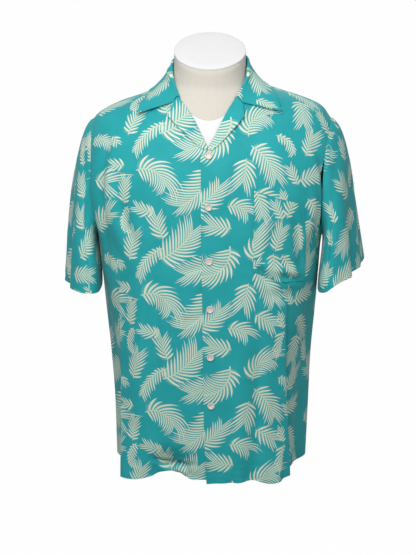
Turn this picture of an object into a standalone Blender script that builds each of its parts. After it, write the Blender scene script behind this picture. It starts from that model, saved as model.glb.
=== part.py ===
"""Short-sleeved camp-collar bowling shirt, worn by a limbless dress form.

Metres, +Z up. The origin is the middle of the form's flat foot, the shirt's front
faces -Y, and +X is the wearer's left. Every shirt piece is a thin closed wall that
follows one shared body surface, given by the table of horizontal rings below.
"""
import bpy
import numpy as np
from bisect import bisect_left
from functools import lru_cache
from math import atan2, cos, degrees, exp, pi, radians, sin
from mathutils import Vector

# ---------------------------------------------------------------- driving sizes
WALL = 0.0012            # cloth wall, fabric with its turned edges
SEAM_GAP = 0.0003        # room between two pieces at a seam
HEM_HEIGHT = 0.018       # hem above the form's foot
FRONT_OVERLAP = 0.014    # each front runs this far past the line of buttons
OVERLAP_LIFT = 0.0021    # the left front lies this far over the right one
UNDERARM_HEIGHT = 0.468
BREAK_HEIGHT = 0.656     # where the fronts turn back, just over the top button
BUTTON_DIAMETER = 0.0138
BUTTON_THICKNESS = 0.0024
NECK_SEGMENTS = 36
CAP_THICKNESS = 0.004
CAP_TILT = radians(20.5)
CAP_CENTRE = Vector((0.0, 0.0, 0.8155))
CAP_RADIUS = 0.0668

# Horizontal rings of the shirt's body. right and left are half widths on the
# wearer's own sides, square_* is 2 for an ellipse and more for a boxier ring.
BODY = {
    "height":       (0.008, 0.068, 0.128, 0.228, 0.348, 0.408, 0.468, 0.528, 0.588, 0.638,
                     0.673, 0.698, 0.718, 0.733, 0.746, 0.758, 0.776),
    "right":        (0.182, 0.183, 0.184, 0.190, 0.2005, 0.2045, 0.2095, 0.225, 0.231, 0.229,
                     0.222, 0.208, 0.172, 0.128, 0.100, 0.084, 0.075),
    "left":         (0.187, 0.189, 0.191, 0.194, 0.2030, 0.2065, 0.2110, 0.224, 0.231, 0.233,
                     0.231, 0.221, 0.202, 0.163, 0.120, 0.089, 0.075),
    "front":        (0.155, 0.156, 0.156, 0.158, 0.159, 0.158, 0.156, 0.152, 0.146, 0.135,
                     0.120, 0.105, 0.093, 0.085, 0.078, 0.072, 0.068),
    "back":         (0.126, 0.125, 0.123, 0.119, 0.115, 0.115, 0.117, 0.119, 0.117, 0.111,
                     0.101, 0.093, 0.087, 0.083, 0.080, 0.077, 0.074),
    "square_right": (3.50, 3.40, 3.30, 3.00, 2.75, 2.65, 2.60, 2.60, 2.60, 2.45,
                     2.20, 2.05, 2.00, 2.00, 2.00, 2.00, 2.00),
    "square_left":  (2.70, 2.65, 2.60, 2.55, 2.55, 2.55, 2.55, 2.60, 2.60, 2.45,
                     2.20, 2.05, 2.00, 2.00, 2.00, 2.00, 2.00),
}

# The dress form's rings, smaller than the shirt's, rounded in at the foot.
FORM = {
    "height": (0.000, 0.015, 0.035, 0.068, 0.158, 0.258, 0.338, 0.428, 0.508, 0.568, 0.628,
               0.668, 0.698, 0.718, 0.733, 0.746, 0.758, 0.776, 0.798, 0.850),
    "side":   (0.116, 0.136, 0.147, 0.153, 0.156, 0.150, 0.150, 0.163, 0.180, 0.194, 0.206,
               0.206, 0.193, 0.161, 0.118, 0.091, 0.077, 0.0690, 0.0668, 0.0668),
    "front":  (0.050, 0.074, 0.090, 0.100, 0.110, 0.108, 0.110, 0.122, 0.138, 0.141, 0.129,
               0.113, 0.0975, 0.0856, 0.0777, 0.0717, 0.0667, 0.0650, 0.0650, 0.0650),
    "back":   (0.060, 0.082, 0.096, 0.104, 0.108, 0.098, 0.092, 0.100, 0.110, 0.112, 0.106,
               0.096, 0.087, 0.081, 0.077, 0.074, 0.071, 0.0690, 0.0668, 0.0668),
    "square": (2.20, 2.25, 2.30, 2.30, 2.30, 2.30, 2.30, 2.30, 2.30, 2.25, 2.20,
               2.10, 2.05, 2.00, 2.00, 2.00, 2.00, 2.00, 2.00, 2.00),
}
NECK_SEAM_FRONT = 0.705  # the white torso ends and the neck starts at this height
NECK_SEAM_RISE = 0.075   # and this much higher at the back
NECK_SEAM_WIDTH = 0.24   # how soon it rises to the sides
NECK_SEAM_MIDDLE = 0.743

# The armholes: ring angle from the front or the back, at matching heights.
ARMHOLE = {
    "height":      (0.468, 0.475, 0.489, 0.509, 0.533, 0.558, 0.583, 0.608, 0.631, 0.652,
                    0.669, 0.683, 0.694),
    "front_right": (90.0, 82.5, 77.5, 74.0, 72.5, 72.0, 72.0, 73.0, 75.0, 77.8,
                    81.0, 85.0, 90.0),
    "front_left":  (90.0, 82.0, 76.5, 72.5, 70.0, 68.7, 68.5, 69.3, 71.0, 73.8,
                    77.5, 82.5, 90.0),
    "back":        (90.0, 83.0, 78.0, 75.0, 73.0, 72.0, 71.7, 72.3, 74.0, 76.7,
                    80.0, 84.3, 90.0),
}
RIGHT_ARMHOLE_DROP = 0.004  # the right shoulder hangs this much lower

# The line where each front turns back, from its lower end to the collar.
ROLL_LINE = {
    "height": (0.656, 0.671, 0.692, 0.708, 0.723, 0.738, 0.754),
    "right":  (-0.0020, 0.0070, 0.0187, 0.0276, 0.0380, 0.0521, 0.0630),
    "left":   (-0.0012, 0.0069, 0.0192, 0.0275, 0.0358, 0.0458, 0.0575),
}
NECK_POINT_HEIGHT = 0.764   # top of the shoulder seams
BACK_NECK_HEIGHT = 0.757    # middle of the back neckline

# How far the line of buttons wanders to the wearer's left as it hangs.
CENTRE = {
    "height": (0.008, 0.088, 0.178, 0.268, 0.368, 0.458, 0.658),
    "shift":  (0.0120, 0.0085, 0.0062, 0.0051, 0.0042, 0.0023, 0.0010),
}
BUTTON_HEIGHTS = (0.6485, 0.5580, 0.4575, 0.3660, 0.2725, 0.1760)

# The deep fold that drops from below the chest to the hem on each side: its crest,
# how far the crest stands out of the ring, and how far the cloth draws in behind it.
FOLD = {
    "height":      (0.008, 0.088, 0.158, 0.233, 0.333, 0.408),
    "right_angle": (52.0, 53.5, 54.5, 55.0, 55.0, 54.5),
    "left_angle":  (54.5, 53.0, 51.6, 49.8, 48.2, 47.6),
    "right_out":   (0.0150, 0.0090, 0.0050, 0.0020, 0.0000, 0.0000),
    "left_out":    (0.0020, 0.0010, 0.0000, 0.0000, 0.0000, 0.0000),
    "depth":       (0.022, 0.021, 0.019, 0.016, 0.008, 0.000),
}
FOLD_TURN = 3.0          # degrees of ring in which the fold drops to its depth
FOLD_FLOOR = 16.0        # degrees of ring at full depth, before it runs out to the side
FOLD_RUN_UP = 14.0       # degrees of ring over which the front rises to the crest

# The hem's waves: where the fronts draw in, and where each front's hem rises.
HEM_INSET = {
    "x":      (-0.078, -0.004, 0.082, 0.118),
    "width":  (0.036, 0.025, 0.020, 0.020),
    "amount": (0.0290, 0.0030, 0.0040, -0.0080),
}
HEM_RISE = {
    "side":   ("right", "right", "left", "left", "left", "left"),
    "x":      (-0.078, -0.006, 0.000, 0.082, 0.118, 0.155),
    "width":  (0.036, 0.022, 0.014, 0.020, 0.020, 0.014),
    "amount": (0.0165, 0.0045, -0.0030, 0.0020, -0.0070, -0.0010),
}
HEM_WAVE_REACH = 0.085   # height over which the waves fade out

# Sleeve cuffs: outer and inner edge seen from the front, and how they hang.
CUFF = {
    "side":         ("right", "left"),
    "outer_x":      (0.2765, 0.2880),
    "inner_x":      (0.2068, 0.2088),
    "outer_height": (0.3760, 0.4070),
    "inner_height": (0.3710, 0.3700),
    "front_sway":   (0.0180, 0.0270),
    "half_depth":   (0.0990, 0.1060),
    "top_out":      (0.1150, 0.1300),
    "hem_out":      (0.0300, 0.0600),
}
CUFF_ROUNDNESS = 0.82    # 1 is an ellipse, less is boxier
SLEEVE_ROWS = (0.0, 0.05, 0.13, 0.25, 0.40, 0.56, 0.72, 0.87, 1.0)

# The collar by stations, from the middle of the back round to its front edge.
# roll_* is the top fold; edge_* is the free edge on the body, by ring angle.
COLLAR = {
    "roll_x":            (0.000, 0.037, 0.0610, 0.0705, 0.0705, 0.0665, 0.0565),
    "roll_y":            (0.078, 0.070, 0.0450, 0.0130, -0.0140, -0.0400, -0.0660),
    "roll_height":       (0.798, 0.798, 0.7970, 0.7940, 0.7830, 0.7675, 0.7445),
    "edge_angle_right":  (180.0, 152.0, 122.0, 88.0, 70.2, 64.0, 60.4),
    "edge_height_right": (0.728, 0.728, 0.7330, 0.7415, 0.7325, 0.7215, 0.7074),
    "edge_angle_left":   (180.0, 152.0, 122.0, 88.0, 70.0, 63.5, 60.0),
    "edge_height_left":  (0.728, 0.729, 0.7400, 0.7500, 0.7400, 0.7280, 0.7152),
    "edge_lift":         (0.0040, 0.0040, 0.0045, 0.0042, 0.0040, 0.0050, 0.0060),
}
COLLAR_LEFT_RISE = 0.006     # the collar stands this much higher on the wearer's left
COLLAR_TURN = 0.0019         # radius of the fold at the collar's top
NECK_INSET = 0.0018          # the stand's front ends lie this far inside the neckline
COLLAR_STEPS = 3             # grid steps between two stations
FOLD_ROW = 3                 # the row of each section that lies along the top fold
LAPEL = {
    "side":          ("right", "left"),
    "break_x":       (0.0065, 0.0045),
    "break_height":  (0.6600, 0.6580),
    "corner_x":      (0.0720, 0.0640),
    "corner_height": (0.7100, 0.7110),
    "notch_x":       (0.0655, 0.0608),
    "notch_height":  (0.7310, 0.7330),
    "gorge_x":       (0.0555, 0.0500),
    "gorge_height":  (0.7420, 0.7430),
}
NOTCH_GAP = 0.0020       # the collar's end clears the lapels' top edges by this much
LAPEL_STEPS = 4
LAPEL_ROWS = 6
LAPEL_LIFT = 0.0030      # how far the lapels' outer corners stand off the fronts

# Chest pocket corners on the left front, seen from the front: x and height.
POCKET = {
    "corner": ("top_inner", "top_outer", "bottom_outer", "bottom_inner"),
    "x":      (0.0837, 0.1755, 0.1775, 0.0830),
    "height": (0.5870, 0.5550, 0.4060, 0.4370),
}
POCKET_POINT = 0.009     # its foot comes to a low point in the middle
POCKET_LIFT = 0.0010

CLOTH = (0.075, 0.43, 0.46)
SHELL = (0.86, 0.83, 0.79)
FORM_WHITE = (0.88, 0.88, 0.88)
NECK_WHITE = (0.74, 0.70, 0.64)


# ---------------------------------------------------------------- small helpers
def along(table, column, at):
    """Smooth value of one column of a table at a height, held level past its ends."""
    knots = table["height"]
    values = table[column]
    slopes = column_slopes(knots, values)
    at = min(max(at, knots[0]), knots[-1])
    low = min(max(bisect_left(knots, at) - 1, 0), len(knots) - 2)
    span = knots[low + 1] - knots[low]
    t = (at - knots[low]) / span
    return hermite(values[low], slopes[low] * span, values[low + 1], slopes[low + 1] * span, t)


@lru_cache(maxsize=None)
def column_slopes(knots, values):
    return tuple(float(slope) for slope in np.gradient(values, knots))


def hermite(start, start_slope, end, end_slope, t):
    """Cubic between two values or vectors with the given end slopes."""
    return (start * (2 * t**3 - 3 * t**2 + 1) + start_slope * (t**3 - 2 * t**2 + t)
            + end * (3 * t**2 - 2 * t**3) + end_slope * (t**3 - t**2))


def smooth(t):
    """0 to 1 with flat ends."""
    t = min(max(t, 0.0), 1.0)
    return t * t * (3 - 2 * t)


def mix(a, b, t):
    return a + (b - a) * t


def signed_power(value, power):
    return abs(value) ** power * (1 if value > 0 else -1)


def side_row(table, side):
    """One side's values from a table with a column for each of the two sides."""
    index = table["side"].index(side)
    return {name: values[index] for name, values in table.items()}


# ---------------------------------------------------------------- the body surface
def fold_offset(angle, height):
    """How far a side fold moves the front out or in at this ring angle."""
    side = "left" if angle > 0 else "right"
    turn = abs(degrees(angle))
    if height > FOLD["height"][-1] or turn > 90:
        return 0.0
    crest = along(FOLD, side + "_angle", height)
    out = along(FOLD, side + "_out", height)
    past = turn - crest
    if past <= 0:
        return out * exp(-((past / FOLD_RUN_UP) ** 2))
    floor_end = FOLD_TURN + FOLD_FLOOR
    runs_out = 1 - smooth((past - floor_end) / (90 - crest - floor_end))
    return mix(out, -along(FOLD, "depth", height), smooth(past / FOLD_TURN)) * runs_out


def hem_wave(table, x, height, side=None):
    """Sum of the hem's waves at x, faded with height."""
    fade = 1 - smooth((height - HEM_HEIGHT) / HEM_WAVE_REACH)
    total = 0.0
    for row, centre in enumerate(table["x"]):
        if side is None or table["side"][row] == side:
            total += table["amount"][row] * exp(-((x - centre) / table["width"][row]) ** 2)
    return total * fade


def ring_radius(angle, height):
    side = "left" if sin(angle) > 0 else "right"
    depth = "front" if cos(angle) > 0 else "back"
    power = along(BODY, "square_" + side, height)
    across = abs(sin(angle)) / along(BODY, side, height)
    deep = abs(cos(angle)) / along(BODY, depth, height)
    return (across**power + deep**power) ** (-1 / power)


def body_point(angle, height):
    """Inner face of the cloth. Angle 0 is the front, +90 degrees the wearer's left."""
    radius = ring_radius(angle, height) + fold_offset(angle, height)
    x = radius * sin(angle)
    if abs(angle) < pi / 2:
        radius -= hem_wave(HEM_INSET, x, height)
    return Vector((radius * sin(angle), -radius * cos(angle), height))


def body_normal(angle, height):
    step = 0.02
    rise = 0.002
    round_it = body_point(angle + step, height) - body_point(angle - step, height)
    up_it = body_point(angle, height + rise) - body_point(angle, height - rise)
    return round_it.cross(up_it).normalized()


@lru_cache(maxsize=None)
def ring_table(height, side, back):
    """Angles of a quarter ring with the arc length and x reached at each."""
    sign = 1 if side == "left" else -1
    angles = np.linspace(0, pi / 2, 61)
    turned = (pi - angles if back else angles) * sign
    radii = np.array([ring_radius(a, height) for a in turned])
    x = radii * np.sin(angles)
    y = radii * np.cos(angles)
    arc = np.concatenate(([0.0], np.cumsum(np.hypot(np.diff(x), np.diff(y)))))
    return angles, arc, x


def arc_at_angle(angle, height, side, back=False):
    angles, arc, _ = ring_table(height, side, back)
    return float(np.interp(angle, angles, arc))


def arc_at_x(x, height, side, back=False):
    _, arc, reached = ring_table(height, side, back)
    return float(np.interp(x, reached, arc))


def angle_at_arc(arc, height, side, back=False):
    """Signed ring angle of a point this far round from the middle."""
    if arc < 0:
        side = "right" if side == "left" else "left"
    angles, arcs, _ = ring_table(height, side, back)
    turn = float(np.interp(abs(arc), arcs, angles))
    turn = pi - turn if back else turn
    return turn if side == "left" else -turn


def lifted(angle, height, lift):
    return body_point(angle, height) + body_normal(angle, height) * lift


# ---------------------------------------------------------------- walls and objects
def material(name, colour, roughness):
    made = bpy.data.materials.new(name)
    made.use_nodes = True
    shader = made.node_tree.nodes["Principled BSDF"]
    shader.inputs["Base Color"].default_value = (*colour, 1)
    shader.inputs["Roughness"].default_value = roughness
    made.diffuse_color = (*colour, 1)
    return made


def add_object(name, points, faces, finish):
    mesh = bpy.data.meshes.new(name)
    mesh.from_pydata([tuple(p) for p in points], [], faces)
    mesh.validate()
    mesh.shade_smooth()
    mesh.set_sharp_from_angle(angle=radians(50))
    mesh.materials.append(finish)
    made = bpy.data.objects.new(name, mesh)
    bpy.context.collection.objects.link(made)
    return made


def wall(name, inner, outer, finish, closed_round=False):
    """One closed wall between two grids of points, rows of columns each.

    Columns run anticlockwise and rows run up, seen from outside.
    """
    rows = len(inner)
    columns = len(inner[0])
    points = [p for row in outer for p in row] + [p for row in inner for p in row]
    half = rows * columns
    last = columns if closed_round else columns - 1
    faces = []
    for j in range(rows - 1):
        for i in range(last):
            a = j * columns + i
            b = j * columns + (i + 1) % columns
            c = b + columns
            d = a + columns
            if (points[a] - points[c]).length <= (points[b] - points[d]).length:
                pair = ((a, b, c), (a, c, d))
            else:
                pair = ((a, b, d), (b, c, d))
            for p, q, r in pair:
                faces.append((p, q, r))
                faces.append((half + p, half + r, half + q))
    for a, b in border_steps(rows, columns, closed_round):
        faces.append((b, a, half + a))
        faces.append((b, half + a, half + b))
    return add_object(name, points, faces, finish)


def border_steps(rows, columns, closed_round):
    """Pairs of grid points along the open border, with the surface on their left."""
    top = (rows - 1) * columns
    if closed_round:
        low = [(i, (i + 1) % columns) for i in range(columns)]
        high = [(top + (i + 1) % columns, top + i) for i in range(columns)]
        return low + high
    low = [(i, i + 1) for i in range(columns - 1)]
    right = [(j * columns + columns - 1, (j + 1) * columns + columns - 1) for j in range(rows - 1)]
    high = [(top + i + 1, top + i) for i in range(columns - 1)]
    left = [((j + 1) * columns, j * columns) for j in range(rows - 1)]
    return low + right + high + left


def grid_normals(grid, closed_round=False):
    """Outward normals of a grid whose columns run round and rows run up."""
    rows = len(grid)
    columns = len(grid[0])
    normals = []
    for j in range(rows):
        row = []
        for i in range(columns):
            before = (i - 1) % columns if closed_round else max(i - 1, 0)
            after = (i + 1) % columns if closed_round else min(i + 1, columns - 1)
            round_it = grid[j][after] - grid[j][before]
            up_it = grid[min(j + 1, rows - 1)][i] - grid[max(j - 1, 0)][i]
            row.append(round_it.cross(up_it).normalized())
        normals.append(row)
    return normals


def thickened(name, grid, finish, closed_round=False):
    """Wall centred on a grid of points."""
    normals = grid_normals(grid, closed_round)
    outer = [[p + n * WALL / 2 for p, n in zip(r, m)] for r, m in zip(grid, normals)]
    inner = [[p - n * WALL / 2 for p, n in zip(r, m)] for r, m in zip(grid, normals)]
    return wall(name, inner, outer, finish, closed_round)


# ---------------------------------------------------------------- fronts and back
LOW_ROWS = (0.0, 0.035, 0.085, 0.16, 0.25, 0.34, 0.43, 0.53, 0.63, 0.73, 0.83, 0.92)
BELOW_ARMHOLE = len(LOW_ROWS)   # rows between the hem and the underarm
ARMHOLE_ROWS = len(ARMHOLE["height"]) - 1
FRONT_ROWS = BELOW_ARMHOLE + ARMHOLE_ROWS
CENTRE_ROWS = (0.0, 0.2, 0.4, 0.59, 0.78, 0.955)
BREAK_ROW = BELOW_ARMHOLE + len(CENTRE_ROWS)
FOLD_COLUMN = 8          # this column of a front lies on its side fold's crest
FRONT_COLUMNS = 14
BACK_COLUMNS = 18
NECK_COLUMNS = 6         # of the back's columns, those along its neckline
EDGE = SEAM_GAP / 2


def armhole_drop(side):
    return RIGHT_ARMHOLE_DROP if side == "right" else 0.0


def armhole_at(row, side, back):
    """Height and arc of one sample of the armhole."""
    height = ARMHOLE["height"][row] - armhole_drop(side) * row / ARMHOLE_ROWS
    angle = radians(ARMHOLE["back" if back else "front_" + side][row])
    return height, arc_at_angle(angle, height, side, back)


def side_edge(side, back=False):
    """Arc and height of each row's end: up the side seam, then round the armhole."""
    edge = []
    for share in LOW_ROWS:
        height = mix(HEM_HEIGHT, UNDERARM_HEIGHT, share)
        edge.append((arc_at_angle(pi / 2, height, side, back) - EDGE, height))
    for row in range(ARMHOLE_ROWS + 1):
        height, arc = armhole_at(row, side, back)
        at_seam = row in (0, ARMHOLE_ROWS)
        edge.append((arc - EDGE if at_seam else arc, height))
    return edge


def centre_edge(side):
    """Arc and height of each row's start: up the front edge, then the roll line."""
    heights = [mix(HEM_HEIGHT, UNDERARM_HEIGHT, share) for share in LOW_ROWS]
    heights += [mix(UNDERARM_HEIGHT, BREAK_HEIGHT, share) for share in CENTRE_ROWS]
    edge = []
    for height in heights:
        shift = along(CENTRE, "shift", height)
        edge.append(((-shift if side == "right" else shift) - FRONT_OVERLAP, height))
    low = ROLL_LINE["height"][0]
    high = ROLL_LINE["height"][-1]
    roll_rows = FRONT_ROWS - BREAK_ROW - 2
    for row in range(roll_rows + 1):
        height = mix(low, high, row / roll_rows)
        x = along(ROLL_LINE, side, height)
        arc = arc_at_x(abs(x), height, side)
        edge.append((arc if x > 0 else -arc, height))
    for share in (0.5, 1.0):
        height = mix(high, NECK_POINT_HEIGHT, share)
        start = arc_at_x(along(ROLL_LINE, side, high), height, side)
        seam = arc_at_angle(pi / 2, height, side) - EDGE
        edge.append((mix(start, seam, share), height))
    return edge


def column_shares(row, start, end, side):
    """Where each column of a front lies between its row's ends, 0 to 1."""
    even = [i / FRONT_COLUMNS for i in range(FRONT_COLUMNS + 1)]
    height = mix(start[1], end[1], FOLD_COLUMN / FRONT_COLUMNS)
    if row > BELOW_ARMHOLE:
        return even
    column = "left_angle" if side == "left" else "right_angle"
    fold_angle = radians(along(FOLD, column, min(height, FOLD["height"][-1])))
    turn_end = fold_angle + radians(FOLD_TURN)
    crest = (arc_at_angle(fold_angle, height, side) - start[0]) / (end[0] - start[0])
    foot = (arc_at_angle(turn_end, height, side) - start[0]) / (end[0] - start[0])
    pull = 1 - smooth((height - 0.37) / 0.10)
    shares = []
    for i, share in enumerate(even):
        if i <= FOLD_COLUMN:
            target = crest * i / FOLD_COLUMN
        else:
            target = mix(foot, 1.0, (i - FOLD_COLUMN - 1) / (FRONT_COLUMNS - FOLD_COLUMN - 1))
        shares.append(mix(share, target, pull))
    return shares


def front_domain(side):
    """Grid of (arc, height) for one front, rows up and columns out to the side."""
    starts = centre_edge(side)
    ends = side_edge(side)
    grid = []
    for row in range(FRONT_ROWS + 1):
        start = starts[row]
        end = ends[row]
        lean = smooth((row - BREAK_ROW) / (FRONT_ROWS - BREAK_ROW))
        cells = []
        for share in column_shares(row, start, end, side):
            arc = mix(start[0], end[0], share)
            height = mix(start[1], end[1], share)
            top_height = mix(starts[-1][1], ends[-1][1], share)
            top_arc = arc_at_angle(pi / 2, top_height, side) - EDGE
            straight = mix(starts[-1][0], ends[-1][0], share)
            cells.append((arc + (top_arc - straight) * lean, height))
        grid.append(cells)
    return grid


def front_lift(side, arc, height):
    """The left front rides over the right one near the buttons."""
    if side == "right":
        return 0.0
    end = along(CENTRE, "shift", height) + FRONT_OVERLAP
    return OVERLAP_LIFT * (1 - smooth((arc - end - 0.004) / 0.035))


def front_point(side, arc, height, extra=0.0):
    angle = angle_at_arc(arc, height, side)
    point = lifted(angle, height, front_lift(side, arc, height) + extra)
    point.z += hem_wave(HEM_RISE, point.x, height, side)
    return point


def make_front(side, finish):
    domain = front_domain(side)
    inner = [[front_point(side, arc, height) for arc, height in row] for row in domain]
    outer = [[front_point(side, arc, height, WALL) for arc, height in row] for row in domain]
    if side == "right":
        inner = [row[::-1] for row in inner]
        outer = [row[::-1] for row in outer]
    return wall(side + "_front", inner, outer, finish)


def back_top(column):
    """Arc and height along the back's top: shoulder seam, neckline, shoulder seam."""
    seam_columns = (BACK_COLUMNS - NECK_COLUMNS) // 2
    side = "right" if column <= BACK_COLUMNS / 2 else "left"
    from_side = column if side == "right" else BACK_COLUMNS - column
    sign = -1 if side == "right" else 1
    if from_side <= seam_columns:
        tip_height = ARMHOLE["height"][-1] - armhole_drop(side)
        height = mix(tip_height, NECK_POINT_HEIGHT, from_side / seam_columns)
        return (arc_at_angle(pi / 2, height, side, True) - EDGE) * sign, height
    inward = (from_side - seam_columns) / (NECK_COLUMNS / 2)
    height = mix(NECK_POINT_HEIGHT, BACK_NECK_HEIGHT, smooth(inward))
    return (arc_at_angle(pi / 2, height, side, True) - EDGE) * (1 - inward) * sign, height


def back_domain():
    rights = side_edge("right", back=True)
    lefts = side_edge("left", back=True)
    grid = []
    for row in range(len(rights)):
        lean = smooth((row - BELOW_ARMHOLE + 1) / (ARMHOLE_ROWS + 1))
        cells = []
        for column in range(BACK_COLUMNS + 1):
            share = column / BACK_COLUMNS
            arc = mix(-rights[row][0], lefts[row][0], share)
            height = mix(rights[row][1], lefts[row][1], share)
            top = back_top(column)
            straight_arc = mix(-rights[-1][0], lefts[-1][0], share)
            straight_height = mix(rights[-1][1], lefts[-1][1], share)
            cells.append((arc + (top[0] - straight_arc) * lean,
                          height + (top[1] - straight_height) * lean))
        grid.append(cells)
    return grid


def back_point(arc, height, extra=0.0):
    side = "left" if arc > 0 else "right"
    return lifted(angle_at_arc(abs(arc), height, side, True), height, extra)


def make_back(finish):
    domain = back_domain()
    inner = [[back_point(arc, height) for arc, height in row][::-1] for row in domain]
    outer = [[back_point(arc, height, WALL) for arc, height in row][::-1] for row in domain]
    return wall("back", inner, outer, finish)


# ---------------------------------------------------------------- sleeves
def armhole_ring(side):
    """Points and normals of the wall round the armhole: top, front, underarm, back."""
    sign = 1 if side == "left" else -1
    samples = [(row, False) for row in range(ARMHOLE_ROWS, 0, -1)]
    samples += [(row, True) for row in range(ARMHOLE_ROWS)]
    ring = []
    for row, back in samples:
        height, _ = armhole_at(row, side, back)
        turn = radians(ARMHOLE["back" if back else "front_" + side][row])
        angle = (pi - turn if back else turn) * sign
        ring.append((lifted(angle, height, WALL / 2), body_normal(angle, height)))
    return ring


def cuff_point(side, turn):
    """Point of the cuff's edge. Turn 0 is its outer side, 90 degrees its front."""
    cuff = side_row(CUFF, side)
    sign = 1 if side == "left" else -1
    across = signed_power(cos(turn), CUFF_ROUNDNESS)
    forward = signed_power(sin(turn), CUFF_ROUNDNESS)
    share = (1 - across) / 2
    sway = cuff["front_sway"] * forward * (1 - 0.6 * share)
    x = mix(cuff["outer_x"], cuff["inner_x"], share) - sway
    height = mix(cuff["outer_height"], cuff["inner_height"], share)
    return Vector((x * sign, -cuff["half_depth"] * forward, height))


def sleeve_rows(side, top):
    """Rows of the sleeve's tube, from the cuff up to the given ring at the armhole."""
    cuff = side_row(CUFF, side)
    sign = 1 if side == "left" else -1
    rows = []
    for t in reversed(SLEEVE_ROWS):
        row = []
        for i, start in enumerate(top):
            turn = 2 * pi * i / len(top)
            up = (1 + cos(turn)) / 2
            across = abs(sin(turn))
            leave = Vector((sign * mix(0.026, cuff["top_out"], up), -0.02 * across * sin(turn),
                            -0.035 * up - 0.11 * across * smooth(2 * up)))
            arrive = Vector((sign * mix(0.002, cuff["hem_out"], up), 0, -mix(0.10, 0.34, up)))
            row.append(hermite(start, leave, cuff_point(side, turn), arrive, t))
        rows.append(row if side == "right" else row[::-1])
    return rows


def make_sleeve(side, finish):
    ring = armhole_ring(side)
    sign = 1 if side == "left" else -1
    first = grid_normals(sleeve_rows(side, [point for point, _ in ring]), closed_round=True)[-1]
    if side == "left":
        first = first[::-1]
    top = []
    for i, (point, normal) in enumerate(ring):
        tangent = ring[(i + 1) % len(ring)][0] - ring[i - 1][0]
        into_hole = tangent.cross(normal).normalized() * -sign
        room = SEAM_GAP * 1.5 + abs(first[i].dot(into_hole)) * WALL / 2
        top.append(point + into_hole * room)
    return thickened(side + "_sleeve", sleeve_rows(side, top), finish, closed_round=True)


# ---------------------------------------------------------------- collar and lapels
def above_body(point, gap):
    """The point, moved straight out from the middle until it clears the body."""
    angle = atan2(point.x, -point.y)
    height = min(point.z, BODY["height"][-1])
    least = ring_radius(angle, height) + gap
    reach = Vector((point.x, point.y, 0)).length
    if reach >= least:
        return point
    return Vector((point.x * least / reach, point.y * least / reach, point.z))


def neckline_point(side, station):
    """Foot of the collar's stand: on the neckline, and inside it near the front end."""
    sign = 1 if side == "left" else -1
    turn = atan2(COLLAR["roll_x"][station], -COLLAR["roll_y"][station])
    if turn > pi / 2:
        height = mix(NECK_POINT_HEIGHT, BACK_NECK_HEIGHT, smooth((turn - pi / 2) * 2 / pi))
    else:
        low = ROLL_LINE["height"][-1]
        height = mix(low, NECK_POINT_HEIGHT, min(1.0, (turn - 0.62) / (pi / 2 - 0.8)))
    inset = NECK_INSET * smooth((1.35 - turn) / 0.35)
    return lifted(turn * sign, height, WALL / 2 - inset) + Vector((0, 0, SEAM_GAP + WALL * 0.7))


def collar_end(side, edge):
    """The collar's front end: round the front's turned edge, then out to its tip."""
    lapel = side_row(LAPEL, side)
    x = lapel["gorge_x"]
    height = lapel["gorge_height"] + NOTCH_GAP
    notch_height = lapel["notch_height"] + NOTCH_GAP
    notch = front_view_point(side, lapel["notch_x"], notch_height, WALL + 0.0040)
    start = front_view_point(side, x + 0.0022, height, WALL + 0.0022)
    return [front_view_point(side, x - 0.0016, height, -0.0040),
            front_view_point(side, x - 0.0020, height, -0.0018),
            front_view_point(side, x - 0.0020, height, 0.0008),
            front_view_point(side, x - 0.0002, height, WALL + 0.0020),
            start, mix(start, notch, 0.55), notch, mix(notch, edge, 0.36),
            mix(notch, edge, 0.70), edge]


def collar_section(side, station):
    """Points across the collar: up the stand, over the fold and down the fall."""
    sign = 1 if side == "left" else -1
    angle = sign * radians(COLLAR["edge_angle_" + side][station])
    height = COLLAR["edge_height_" + side][station]
    lift = WALL + COLLAR["edge_lift"][station]
    edge = lifted(angle, height, lift)
    if station == len(COLLAR["roll_x"]) - 1:
        return collar_end(side, edge)
    rise = COLLAR_LEFT_RISE if side == "left" else 0.0
    share = smooth(1 - abs(station - 3) / 3)
    roll = Vector((COLLAR["roll_x"][station] * sign, COLLAR["roll_y"][station],
                   COLLAR["roll_height"][station] + rise * share))
    out = Vector((roll.x, roll.y, 0)).normalized() * COLLAR_TURN
    up = Vector((0, 0, 1))
    foot = neckline_point(side, station)
    start = roll + out
    drop = (edge - start).length
    landing = (edge - lifted(angle, height + 0.006, lift)).normalized()
    fall = [hermite(start, up * -0.55 * drop, edge, landing * drop * 0.8, t)
            for t in (0.0, 0.18, 0.40, 0.62, 0.82, 1.0)]
    return [foot, mix(foot, roll - out, 0.55), roll - out, roll + up * COLLAR_TURN] + fall


def collar_grid():
    """Sections all round the neck, from the right front edge to the left one."""
    last = len(COLLAR["roll_x"]) - 1
    sections = [collar_section("right", k) for k in range(last, 0, -1)]
    sections += [collar_section("left", k) for k in range(last + 1)]
    rows = []
    for r in range(len(sections[0])):
        guide = [section[r] for section in sections]
        row = []
        for k in range(len(guide) - 1):
            before = guide[max(k - 1, 0)]
            after = guide[min(k + 2, len(guide) - 1)]
            for step in range(COLLAR_STEPS):
                point = hermite(guide[k], (guide[k + 1] - before) / 2, guide[k + 1],
                                (after - guide[k]) / 2, step / COLLAR_STEPS)
                near_end = k in (0, len(guide) - 2)
                if r > FOLD_ROW and (k, step) != (0, 0):
                    point = above_body(point, WALL + (0.0030 if near_end else 0.0045))
                row.append(point)
        row.append(guide[-1])
        rows.append(row)
    return rows


def make_collar(finish):
    return thickened("collar", collar_grid(), finish)


def front_view_point(side, x, height, lift):
    """Point on a front at this x and height as seen from the front."""
    return front_point(side, arc_at_x(x, height, side), height, lift)


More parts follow.
